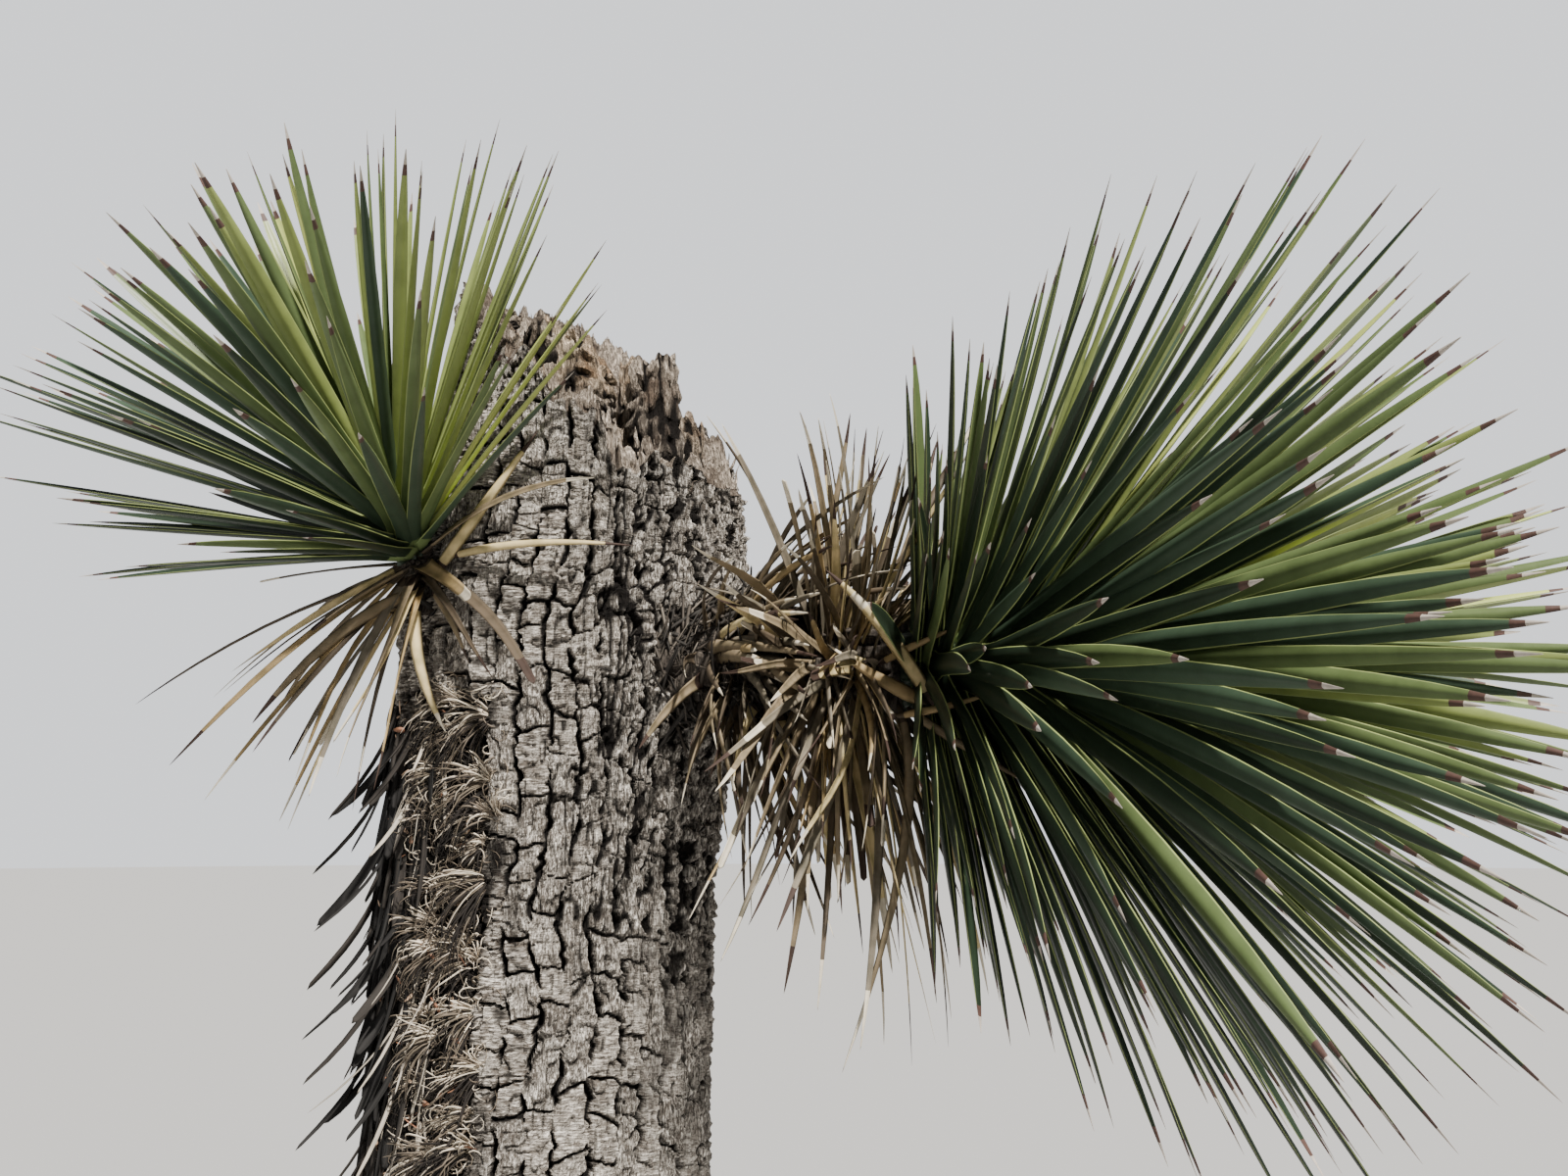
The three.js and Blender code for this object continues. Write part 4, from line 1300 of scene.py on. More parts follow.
def crag_points(crag, number):
    """Rings of points from a crag's foot up its sides and in over its top, and its tones: how fresh, and
    how dark, with painted shade in its grooves, low chips and shards and towards its foot.
    """
    seed = CRAG.seed + 7 * number
    turn = (np.arange(CRAG.around) / CRAG.around)[None, :]
    rise = np.concatenate([np.linspace(0, 1, CRAG.side_rows), np.ones(CRAG.cap_rows)])[:, None]
    cap = np.linspace(*CRAG.cap_reach, CRAG.cap_rows)
    inward = np.concatenate([np.ones(CRAG.side_rows), cap])[:, None]

    def side_noise(layer, step):
        lumps, rows = layer
        return ring_noise(turn, rise * rows, lumps, seed + step)

    lobes = side_noise(CRAG.lobes, 0)
    flutes = np.abs(side_noise(CRAG.flutes, 1))
    fine = side_noise(CRAG.fine_flutes, 2)
    chips = side_noise(CRAG.chips, 5)
    fluted = CRAG.flute_depth * (flutes - CRAG.flute_middle) + CRAG.fine_flute_depth * fine
    reach = lerp(*CRAG.side_reach, rise) + CRAG.lobe_depth * lobes
    reach = (reach + fluted + CRAG.chip_depth * chips) * inward
    x = crag.centre[0] + crag.half[0] * np.cos(turn * TAU) * reach
    y = crag.centre[1] + crag.half[1] * np.sin(turn * TAU) * reach
    lumps = plan_noise(x, y, CRAG.lump_spans, seed + 3)
    shards = plan_noise(x, y, CRAG.shard_spans, seed + 4)
    top = crag.top + crag.tilt[0] * (x - crag.centre[0]) + crag.tilt[1] * (y - crag.centre[1])
    top = top + CRAG.lump_height * lumps + CRAG.shard_height * shards
    foot = break_height(*crag.centre) - CRAG.foot
    z = lerp(foot, np.maximum(top, foot + CRAG.least_height), rise)
    fresh = crag.fresh * (CRAG.fresh_least + CRAG.fresh_lobes * lobes) + 0 * x
    fresh = fresh * smoothstep(rise, *CRAG.fresh_rise)
    # Painted shade: the crag's own darkness, plus shade in its grooves, towards its foot and in its low
    # chips and shards.
    dark = crag.dark + CRAG.groove_shade * smoothstep(flutes, *CRAG.groove_edge) * rise
    dark = dark + CRAG.foot_shade * smoothstep(rise, *CRAG.foot_edge)
    dark = dark + CRAG.chip_shade * smoothstep(chips, *CRAG.chip_edge)
    dark = dark + CRAG.shard_shade * smoothstep(shards, *CRAG.shard_edge)
    return np.stack([x, y, z], -1), np.clip(fresh, 0, 1), np.clip(dark, 0, 1)


def make_crags(material):
    """The upright crags, each a closed lump that stands in the torn face."""
    crags = [Sizes(centre=np.array(crag.centre) * MM, half=np.array(crag.half) * MM, top=crag.top * MM,
                   tilt=crag.tilt, fresh=crag.fresh, dark=crag.dark) for crag in FRONT_CRAGS]
    crags = crags + ruled_crags(np.random.default_rng(CRAG.seed))
    rows = CRAG.side_rows + CRAG.cap_rows
    foot = rows * CRAG.around
    tip = foot + 1
    fans = np.vstack([fan(foot, 0, CRAG.around, turned=True),
                      fan(tip, foot - CRAG.around, CRAG.around)])
    points, fresh_values, darkness_and_painted_shade_values = [], [], []
    for number, crag in enumerate(crags):
        rings, fresh, hollow = crag_points(crag, number)
        points += [rings.reshape(-1, 3), rings[[0, -1]].mean(1)]
        fresh_values += [fresh.ravel(), [0, crag.fresh]]
        darkness_and_painted_shade_values += [hollow.ravel(), [1, 0]]
    firsts = np.arange(len(crags))[:, None, None] * (tip + 1)
    piece = new_piece("top_crags", np.vstack(points), grid_quads(rows, CRAG.around) + firsts,
                      fans + firsts, [material], smooth=False)
    set_point_values(piece, "fresh", np.concatenate(fresh_values))
    set_point_values(piece, "hollow", np.concatenate(darkness_and_painted_shade_values))


def make_splinters(material):
    """Upright splinters of torn wood, most of them near the rim."""
    random = np.random.default_rng(SPLINTER.seed)
    count = SPLINTER.count
    even, _ = row_draws(random, count)
    angle = random.uniform(0, TAU, count)
    share = 1 - SPLINTER.inward * random.random(count) ** SPLINTER.crowding
    rim = trunk_points(jagged_rim(angle), angle, -SPLINTER.inset)
    x = lerp(trunk_axis_x(TRUNK.top_height), rim[:, 0], share)
    y = rim[:, 1] * share
    low = break_height(x, y) - BREAK.sunk_centre * (1 - share * share) - SPLINTER.root
    length = SPLINTER.length * random.uniform(*SPLINTER.lengths, count)
    lean = random.normal(0, SPLINTER.lean, (count, 2))
    direction = unit(np.stack([lean[:, 0], lean[:, 1], np.ones(count)], -1))
    stations = np.linspace(0, 1, len(SPLINTER_WIDTHS))
    reach = (length[:, None] * stations)[..., None]
    centres = np.stack([x, y, low], -1)[:, None] + direction[:, None] * reach
    centres = centres + random.normal(0, SPLINTER.wobble, centres.shape)
    side, lift = frames_along(centres, -leftward(angle)[:, None] + 0 * centres)
    side, lift = twisted(side, lift, even(-SPLINTER.twist, SPLINTER.twist) + 0 * stations)
    widths = 0.5 * SPLINTER.width * even(*SPLINTER.widths) * SPLINTER_WIDTHS
    piece = one_tone_blades("top_splinters", centres, side, lift, widths, SPLINTER_SECTION,
                            [material], np.zeros(count, int))
    fresh = fresh_share(x, y)
    ring_points = len(stations) * len(SPLINTER_SECTION)
    fresh = np.concatenate([np.repeat(fresh, ring_points), fresh, fresh])
    set_point_values(piece, "fresh", fresh)
    set_point_values(piece, "hollow", 0 * fresh)


# Leaves

GREEN_SECTION = np.array([[-1, 0.24], [-0.95, 0.25], [-0.45, 0.12], [0, 0.06], [0.45, 0.12],
                          [0.95, 0.25], [1, 0.24], [0.93, 0.14], [0.45, -0.16], [0, -0.32],
                          [-0.45, -0.16], [-0.93, 0.14]])
MARGIN_SIDES = [0, 5, 6, 11]
GREEN_PLACES = np.array([0, 0.05, 0.09, 0.14, 0.2, 0.3, 0.42, 0.54, 0.66, 0.77, 0.87, 0.932,
                         0.958, 0.98, 0.994])
GREEN_WIDTHS = np.array([1.5, 1.7, 1.55, 1.25, 1.05, 1.0, 1.0, 0.98, 0.91, 0.76, 0.54, 0.34,
                         0.23, 0.12, 0.05])
BASE_INTERVALS = 2
BAND_INTERVAL = 11
GREEN = Sizes(
    sun_side=unit(np.array([0.75, 0.15, 0.65])),
    light={"right_rosette": 1.2, "left_rosette": 2.1},
    facing_light=2.0,
    light_spread=0.6,
    age_shade=1.2,
    widths=(0.88, 1.12),
    twist=0.25,
    seeds={"right_rosette": 11, "left_rosette": 12},
)


def gathered(leaves, name):
    """One value of every leaf, as an array."""
    return np.array([getattr(leaf, name) for leaf in leaves])


def leaf_centres(leaves, share):
    """Points along each leaf's bent line, at a share of its length."""
    share = share[..., None]
    root, direction, bend = (gathered(leaves, name)[:, None] for name in ("root", "direction", "bend"))
    length = gathered(leaves, "length")[:, None, None]
    return root + length * (direction * share + bend * share * share)


def make_rosette(name, leaves, materials):
    """Channelled green blades with pale margins, a brown band and a grey point."""
    random = np.random.default_rng(GREEN.seeds[name])
    count = len(leaves)
    tones = len(TONES["green"])
    centres = leaf_centres(leaves, GREEN_PLACES[None, :])
    side, lift = frames_along(centres, gathered(leaves, "sideways")[:, None] + 0 * centres)
    side, lift = twisted(side, lift, random.normal(0, GREEN.twist, (count, 1)) * GREEN_PLACES)
    width = gathered(leaves, "width") * random.uniform(*GREEN.widths, count)
    half_widths = 0.5 * width[:, None] * GREEN_WIDTHS

    # Painted light: each leaf takes a tone from shade to sun by how far it points to the sun's side, with
    # painted shade on the older, lower leaves and over the whole right rosette.
    facing = gathered(leaves, "direction") @ GREEN.sun_side
    light = GREEN.light[name] + GREEN.facing_light * facing
    light = light + random.normal(0, GREEN.light_spread, count)
    light = light - GREEN.age_shade * (1 - gathered(leaves, "youth"))
    tone = np.clip(np.round(light), 0, tones - 1).astype(int)
    margin, band, point, base = range(tones, tones + 4)
    corners = len(GREEN_SECTION)
    slots = np.repeat(tone, (len(GREEN_PLACES) - 1) * corners).reshape(count, -1, corners)
    slots[:, BASE_INTERVALS:BAND_INTERVAL, MARGIN_SIDES] = margin
    slots[:, :BASE_INTERVALS] = base
    slots[:, BAND_INTERVAL] = band
    slots[:, BAND_INTERVAL + 1:] = point
    piece = blades(name + "_blades", centres, side, lift, half_widths, GREEN_SECTION,
                   materials, slots, np.full(count, base), np.full(count, point))
    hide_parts(name)


DEAD = Sizes(
    tone_shares=[0.32, 0.16, 0.14, 0.18, 0.2],
    snapped_share=0.22,
    snapped_lengths=(0.5, 0.85),
    curl=0.035,
    widths=(0.6, 1.25),
    twist=1.1,
    mark_chances=(-0.35, 0.25),
    mark_shares=[0.35, 0.3, 0.35],
    end_shares=[0.45, 0.55],
    foot_shares=[0.6, 0.4],
    curl_waves=5,
    seeds={"right_dead_leaves": 21, "left_dead_leaves": 22},
)
TAN, GOLD, STRAW, BROWN = range(4)
DEAD_SECTION = np.array([[-1, 0.42], [-0.5, 0.16], [0, 0.04], [0.5, 0.16], [1, 0.42],
                         [0.55, -0.02], [0, -0.2], [-0.55, -0.02]])
DEAD_PLACES = np.array([0, 0.05, 0.11, 0.2, 0.3, 0.42, 0.54, 0.66, 0.77, 0.86, 0.93, 0.98])
DEAD_WIDTHS = np.array([1.7, 1.6, 1.3, 1.1, 1.0, 0.92, 0.82, 0.7, 0.55, 0.4, 0.25, 0.1])
ODD_WIDTHS = np.array([0.35, 0.6, 0.85, 1.0, 1.0, 0.95, 0.85, 0.72, 0.55, 0.4, 0.25, 0.1])
SLEEVE = Sizes(
    count=120,
    first_share=0.55,
    root_depth=5 * MM,
    length=105 * MM,
    lengths=(0.45, 1.35),
    width=8.5 * MM,
    widths=(0.6, 1.2),
    leans=(0.35, 1.15),
    less_lean_below=0.6,
    forward_bend=0.4,
    sag=0.2,
    twist=0.7,
    tone_shares=[0.24, 0.06, 0.02, 0.4, 0.28],
    seed=29,
)
ODD = Sizes(
    twist=0.5,
    seed=23,
)

# Single dead leaves that stand out, each by its root, middle and end in millimetres
ODD_DEAD_LEAVES = [
    Sizes(path=[(-42, -95, 1732), (25, -131, 1737), (98, -130, 1735)], width=6, tone=STRAW),
    Sizes(path=[(-47, -100, 1718), (-10, -114, 1766), (28, -120, 1818)], width=9, tone=STRAW),
    Sizes(path=[(-57, -98, 1705), (-50, -114, 1658), (-30, -112, 1610)], width=9, tone=STRAW),
    Sizes(path=[(-46, -97, 1711), (-32, -112, 1690), (-15, -116, 1656)], width=8, tone=TAN),
    Sizes(path=[(-55, -92, 1712), (-105, -120, 1675), (-152, -140, 1614)], width=9, tone=TAN),
    Sizes(path=[(287, -185, 1625), (255, -206, 1640), (223, -215, 1659)], width=10, tone=GOLD),
    Sizes(path=[(293, -190, 1620), (258, -211, 1668), (222, -215, 1705)], width=9, tone=STRAW),
    Sizes(path=[(270, -150, 1630), (272, -186, 1540), (231, -190, 1400)], width=7, tone=TAN),
    Sizes(path=[(264, -190, 1616), (296, -212, 1621), (326, -213, 1630)], width=5, tone=GOLD),
    Sizes(path=[(274, -188, 1622), (302, -209, 1600), (354, -215, 1569)], width=6, tone=TAN),
    Sizes(path=[(254, -186, 1648), (280, -208, 1660), (304, -212, 1669)], width=5, tone=GOLD),
]


def dead_slots(random, tone, intervals):
    """A tone for each dead leaf, with a few dark or pale marks near its end."""
    dark = len(TONES["dead"])
    pale = dark + 1
    slots = np.repeat(tone[:, None], intervals, 1)
    for number in range(len(tone)):
        marked = random.random(intervals) < np.linspace(*DEAD.mark_chances, intervals)
        kinds = random.choice([dark, pale, tone[number]], intervals, p=DEAD.mark_shares)
        slots[number] = np.where(marked, kinds, slots[number])
    slots[:, -2:] = random.choice([dark, pale], (len(tone), 1), p=DEAD.end_shares)
    slots[:, :2] = random.choice([BROWN, dark], (len(tone), 1), p=DEAD.foot_shares)
    return slots


def dead_blades(name, random, centres, sideways, width, share, tone, materials, twist,
                widths=DEAD_WIDTHS):
    """Shrunken, twisted blades with marked ends."""
    side, lift = frames_along(centres, sideways)
    side, lift = twisted(side, lift, random.normal(0, twist, (len(tone), 1)) * share)
    half_widths = 0.5 * width[:, None] * np.interp(share, DEAD_PLACES, widths)
    tones = dead_slots(random, tone, len(DEAD_PLACES) - 1)
    slots = np.repeat(tones[..., None], len(DEAD_SECTION), -1)
    piece = blades(name, centres, side, lift, half_widths, DEAD_SECTION,
                   materials, slots, tones[:, 0], tones[:, -1])
    return piece


def make_dead_leaves(name, leaves, materials):
    """Shrunken, curled and twisted blades, some of them broken off short."""
    random = np.random.default_rng(DEAD.seeds[name])
    count = len(leaves)
    snapped = random.random(count) < DEAD.snapped_share
    kept = np.where(snapped, random.uniform(*DEAD.snapped_lengths, count), 1.0)
    share = DEAD_PLACES[None, :] * kept[:, None]
    sideways = gathered(leaves, "sideways")[:, None]
    curl = random.normal(0, DEAD.curl, (count, 1)) * np.sin(DEAD.curl_waves * share) * share
    curl = curl * gathered(leaves, "length")[:, None]
    centres = leaf_centres(leaves, share) + sideways * curl[..., None]
    width = gathered(leaves, "width") * random.uniform(*DEAD.widths, count)
    tone = random.choice(len(TONES["dead"]), count, p=DEAD.tone_shares)
    piece = dead_blades(name + "_blades", random, centres, sideways + 0 * centres, width, share,
                        tone, materials, DEAD.twist)
    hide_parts(name)


def make_odd_leaves(materials):
    """The few dead leaves that lie across the trunk, hang beside it or bend back."""
    random = np.random.default_rng(ODD.seed)
    paths = np.array([leaf.path for leaf in ODD_DEAD_LEAVES]) * MM
    start, middle, end = (paths[:, place, None] for place in range(3))
    control = 2 * middle - 0.5 * (start + end)
    share = DEAD_PLACES[None, :, None]
    centres = (1 - share) ** 2 * start + 2 * share * (1 - share) * control + share ** 2 * end
    sideways = np.cross(np.gradient(centres, axis=1), [0.0, 1.0, 0.0])
    width = MM * np.array([leaf.width for leaf in ODD_DEAD_LEAVES])
    tone = np.array([leaf.tone for leaf in ODD_DEAD_LEAVES])
    dead_blades("odd_dead_leaves", random, centres, sideways, width,
                DEAD_PLACES + 0 * width[:, None], tone, materials, ODD.twist, ODD_WIDTHS)


def make_sleeve(materials):
    """Old dead leaves that are still rooted along the outer half of the bough, in a spiral."""
    random = np.random.default_rng(SLEEVE.seed)
    each = (SLEEVE.count, 1, 1)
    index = np.arange(SLEEVE.count)[:, None]
    along = lerp(SLEEVE.first_share, 1.0, index / SLEEVE.count)
    radius = lerp(BOUGH.root_radius, BOUGH.tip_radius, along)
    roots, out, forward = limb_points(BOUGH.path, radius, along, index * GOLDEN_ANGLE,
                                      0 * along - SLEEVE.root_depth)
    lean = random.uniform(*SLEEVE.leans, each) - SLEEVE.less_lean_below * np.maximum(0, -out[..., 2:])
    direction = out * np.cos(lean) + forward * np.sin(lean)
    length = SLEEVE.length * random.uniform(*SLEEVE.lengths, each)
    bend = forward * random.uniform(0, 1, each) * SLEEVE.forward_bend - UP * SLEEVE.sag
    share = DEAD_PLACES[None, :, None]
    centres = roots + length * (direction * share + bend * share ** 2)
    clear = [clear_of_trunk(line[3:]) for line in centres]
    centres = centres[clear]
    count = len(centres)
    sideways = np.cross(out, forward)[clear] + 0 * centres
    width = SLEEVE.width * random.uniform(*SLEEVE.widths, count)
    tone = random.choice(len(TONES["dead"]), count, p=SLEEVE.tone_shares)
    piece = dead_blades("bough_dead_leaves", random, centres, sideways, width,
                        DEAD_PLACES + 0 * width[:, None], tone, materials, SLEEVE.twist)
    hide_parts("right_dead_leaves")


# Limbs and the stems inside the masses

LIMB = Sizes(
    around=160,
    rows=90,
    proud=1.0 * MM,
    furrows=(17, 5),
    furrow_depth=9 * MM,
    furrow_edge=(0.5, 0),
    lumps=(9, 9),
    lump_depth=7 * MM,
    grains=(60, 22),
    grain_depth=0.9 * MM,
    bend_reach=0.15,
    seed=61,
)

# Loose fibres and old leaf stubs along the limbs
FIBRE = Sizes(
    stations=8,
    root_depth=1.2 * MM,
    lengths=(0.4, 1.3),
    runs=(0.3, 1),
    places=(0.1, 0.95),
    turn_spread=0.5,
    widths=(0.6, 1.5),
    end_width=0.25,
    rise_power=1.6,
    taper_power=0.6,
)
HAIRS = Sizes(suffix="_hairs", length=22 * MM, width=0.9 * MM, rise=0.3, ways=[0.5, 0.5],
              tones=[0.4, 0.4, 0.2])
STUBS = Sizes(suffix="_stubs", length=30 * MM, width=4.2 * MM, rise=0.9, ways=[0.15, 0.85],
              tones=[0.6, 0.33, 0.07])
HAIR_SECTION = np.array([[-1, 0], [0, 0.8], [1, 0]])
DOMED_STEM = ([0, 0.7, 0.94, 1.0], [1, 0.9, 0.45, 0.05])
PLAIN_STEM = ([0, 1.0], [1, 0.97])


def limb_points(path, radius, share, turn, extra):
    """Points on a limb along a path, with the directions outward and forward there."""
    places = np.linspace(0, 1, len(path))

    def at(value):
        value = np.clip(value, 0, 1)
        return np.stack([np.interp(value, places, path[:, axis]) for axis in range(3)], -1)

    forward = unit(at(share + LIMB.bend_reach) - at(share - LIMB.bend_reach))
    across, second = cross_frame(forward)
    out = across * np.cos(turn)[..., None] + second * np.sin(turn)[..., None]
    return at(share) + out * (radius + extra)[..., None], out, forward


def make_limb(name, node, path, places, radii, material):
    """A limb or stem matted with fibres: furrowed, lumpy and closed at both ends."""
    share = np.linspace(0, 1, LIMB.rows)[:, None] + np.zeros((1, LIMB.around))
    turn = (np.arange(LIMB.around) / LIMB.around * TAU)[None, :] + 0 * share

    def noise(layer, step):
        lumps, rows = layer
        return ring_noise(turn / TAU, share * rows, lumps, LIMB.seed + step)

    depth = LIMB.furrow_depth * smoothstep(np.abs(noise(LIMB.furrows, 0)), *LIMB.furrow_edge)
    depth = depth + LIMB.lump_depth * (0.5 + 0.5 * noise(LIMB.lumps, 2))
    depth = depth + LIMB.grain_depth * noise(LIMB.grains, 1)
    radius = np.interp(share, places, radii)
    points, _, _ = limb_points(path, radius, share, turn, (LIMB.proud - depth) * radius / radii[0])
    points = points.reshape(-1, 3)
    root = len(points)
    fans = np.vstack([fan(root, 0, LIMB.around, turned=True),
                      fan(root + 1, root - LIMB.around, LIMB.around)])
    points = np.vstack([points, [path[0], path[-1]]])
    piece = new_piece(name, points, grid_quads(LIMB.rows, LIMB.around), fans, [material])
    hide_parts(node)


def make_stem(name, material):
    """The stem inside a mass of leaves."""
    mass = MASSES[name]
    places, widths = DOMED_STEM if mass.domed else PLAIN_STEM
    radii = [mass.stem_radius * width for width in widths]
    path = np.array([mass.start, mass.end])
    make_limb(name + "_stem", name, path, places, radii, material)


def make_limb_fibres(name, path, radii, kind, count, materials):
    """Loose fibres or old leaf stubs that lie along a limb and lift off it at their ends."""
    random = np.random.default_rng(LIMB.seed + count)
    even, bell = row_draws(random, count)
    stations = np.linspace(0, 1, FIBRE.stations)
    length = kind.length * even(*FIBRE.lengths)
    run = random.choice([-1, 1], (count, 1), p=kind.ways) * even(*FIBRE.runs)
    share = even(*FIBRE.places) + stations * length / np.linalg.norm(path[-1] - path[0]) * run
    share = np.clip(share, 0, 1) + 1e-4 * stations
    turn = even(0, TAU) + stations * bell(FIBRE.turn_spread)
    rise = even(0.0, kind.rise) * length * stations ** FIBRE.rise_power
    radius = lerp(radii[0], radii[1], share)
    centres, out, forward = limb_points(path, radius, share, turn, rise - FIBRE.root_depth)
    side, lift = frames_along(centres, np.cross(out, forward) + 0.01 * forward)
    taper = np.linspace(1, FIBRE.end_width, FIBRE.stations) ** FIBRE.taper_power
    widths = 0.5 * kind.width * even(*FIBRE.widths) * taper
    tone = random.choice(len(materials), count, p=kind.tones)
    piece = one_tone_blades(name + kind.suffix, centres, side, lift, widths, HAIR_SECTION,
                            materials, tone)


# The strip of old leaf bases down the left flank

STRIP = Sizes(
    front_angle=math.radians(259),
    tuft_back_angle=math.radians(226),
    back_angle=math.radians(176),
    low=706 * MM,
    high=1652 * MM,
    ragged_end=110 * MM,
    ragged_lumps=11,
    low_fade=(-30 * MM, 40 * MM),
    high_fade=(20 * MM, -50 * MM),
    root_depth=5 * MM,
    root_power=3,
    flank_cover=0.55,
    edge_fade=math.radians(9),
    edge_lumps=9,
    edge_wander=0.16,
    edge_wander_height=34 * MM,
)
TUFT = Sizes(
    columns=2,
    first_column=0.15,
    column_spread=0.07,
    row_height=28 * MM,
    top_gap=8 * MM,
    fibres=66,
    sizes=(0.5, 1.3),
    tilt=0.45,
    nest_spread=0.1,
    headings=(-0.8, 1.3),
    length=33 * MM,
    lengths=(0.55, 1.15),
    fall=20 * MM,
    arch=11 * MM,
    arch_turn=0.8 * math.pi,
    curl=6 * MM,
    curls=(0.2, 1.3),
    curl_start=0.3,
    curl_turn=4,
    curl_out=0.6,
    height_spread=1.2 * MM,
    width=1.0 * MM,
    widths=(0.6, 1.35),
    shades=(0.4, 2.3),
    shade_spread=0.8,
    seed=77,
)
CURL = Sizes(
    count=2300,
    length=18 * MM,
    lengths=(0.4, 1.4),
    heading_spread=1.3,
    bends=(1.0, 5.5),
    reach=7 * MM,
    reaches=(0.2, 1.3),
    reach_turn=0.85 * math.pi,
    root_depth=2 * MM,
    width=0.85 * MM,
    widths=(0.5, 1.5),
    tone_shares=[0.3, 0.35, 0.35],
    seed=80,
)
STRAP = Sizes(
    count=560,
    tone_shares=[0.36, 0.48, 0.16],
    top_gap=130 * MM,
    across=0.66,
    pale_across=(0.22, 0.43),
    crowding=0.9,
    pale_width=0.36,
    length=80 * MM,
    lengths=(0.4, 1.4),
    hangs=(0.7, 1.0),
    proud=2 * MM,
    lifts=[0.07, 0.2, 0.45],
    lift_shares=[0.7, 0.17, 0.13],
    lift_power=2.2,
    drift=0.12,
    hook=9 * MM,
    hook_fade=0.09,
    twist=0.7,
    width=8.5 * MM,
    widths=(0.4, 1.2),
    seed=78,
)
CHIP = Sizes(
    count=170,
    first_across=0.05,
    across=0.55,
    top_gap=12 * MM,
    lengths=(3 * MM, 12 * MM),
    proud=(1 * MM, 7 * MM),
    lift=0.35,
    rises=(-0.6, 1),
    widths=(1.2 * MM, 2.6 * MM),
    seed=79,
)
FIBRE_WIDTHS = np.array([1, 1.15, 1.1, 1, 0.9, 0.7, 0.4])
CURL_WIDTHS = np.array([1, 1.05, 1, 0.95, 0.85, 0.7, 0.4])
PALE_STRAP = 2
STRAP_WIDTHS = np.array([0.8, 1, 1, 1, 0.98, 0.95, 0.9, 0.78, 0.5])
CHIP_WIDTHS = np.array([0.8, 1, 0.9, 0.5])
CHIP_SECTION = np.array([[-1, 0.02], [0, 0.14], [1, 0.02], [0, -0.14]])


def tuft_places(random):
    """Angle and height of each old leaf base, in staggered columns."""
    places = []
    rows = int((STRIP.high - STRIP.low) / TUFT.row_height)
    for column in range(TUFT.columns):
        for row in range(rows):
            across = (column + TUFT.first_column) / TUFT.columns + random.normal(0, TUFT.column_spread)
            rise = (row + 0.5 * (column % 2) + random.uniform(0, 1)) * TUFT.row_height
            angle = lerp(STRIP.front_angle, STRIP.tuft_back_angle, across)
            places.append((angle, min(STRIP.low + rise, STRIP.high - TUFT.top_gap)))
    places = np.array(places)
    return places[places[:, 1] > strip_low_end(places[:, 0])]


def strip_blades(name, centres, frames, widths, section, materials, tone):
    """Blades of one tone each that belong to the strip of old leaf bases."""
    piece = one_tone_blades(name, centres, *frames, widths, section, materials, tone)
    return piece


def make_tufts(materials):
    """Parallel fibres of each base that sweep left, arch over and curl down."""
    random = np.random.default_rng(TUFT.seed)
    places = np.repeat(tuft_places(random), TUFT.fibres, 0)
    count = len(places)
    tufts = count // TUFT.fibres
    even, bell = row_draws(random, count)
    size = np.repeat(random.uniform(*TUFT.sizes, tufts), TUFT.fibres)[:, None]
    tilt = np.repeat(random.normal(0, TUFT.tilt, tufts), TUFT.fibres)[:, None]
    nest = np.tile(np.linspace(0, 1, TUFT.fibres), tufts)[:, None] + bell(TUFT.nest_spread)
    stations = np.linspace(0, 1, len(FIBRE_WIDTHS))[None, :]
    heading = lerp(*TUFT.headings, nest) + tilt
    length = TUFT.length * size * even(*TUFT.lengths)
    left = length * np.cos(heading) * stations
    rise = length * np.sin(heading) * stations
    rise = rise - TUFT.fall * size * stations ** 2 * even(*TUFT.sizes)
    out = TUFT.arch * size * np.sin(stations * TUFT.arch_turn) * even(*TUFT.sizes)
    out = out - STRIP.root_depth * (1 - stations) ** STRIP.root_power
    curled = np.clip(stations - TUFT.curl_start, 0, 1) / (1 - TUFT.curl_start)
    swirl = TUFT.curl * even(*TUFT.curls) * curled
    phase = even(0, TAU) + stations * bell(TUFT.curl_turn)
    out = out + TUFT.curl_out * np.abs(swirl * np.sin(phase))
    around = places[:, :1] - (left + swirl * np.cos(phase)) / TRUNK.chest_radius
    z = places[:, 1:] + rise + bell(TUFT.height_spread)
    centres = trunk_points(np.clip(z, STRIP.low, STRIP.high), around, out)
    widths = 0.5 * TUFT.width * even(*TUFT.widths) * FIBRE_WIDTHS
    # Painted shade: fibres nested under others in a tuft take the darker tones, the outermost the pale
    # one; a higher value here is paler.
    shade = lerp(*TUFT.shades, nest[:, 0]) + random.normal(0, TUFT.shade_spread, count)
    tone = 2 - np.clip(shade, 0, 2.99).astype(int)
    piece = strip_blades("leaf_base_tufts", centres, frames_on_trunk(centres, around), widths,
                         HAIR_SECTION, materials, tone)
    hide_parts("leaf_base_strip_upper", "leaf_base_strip_middle", "leaf_base_strip_lower")


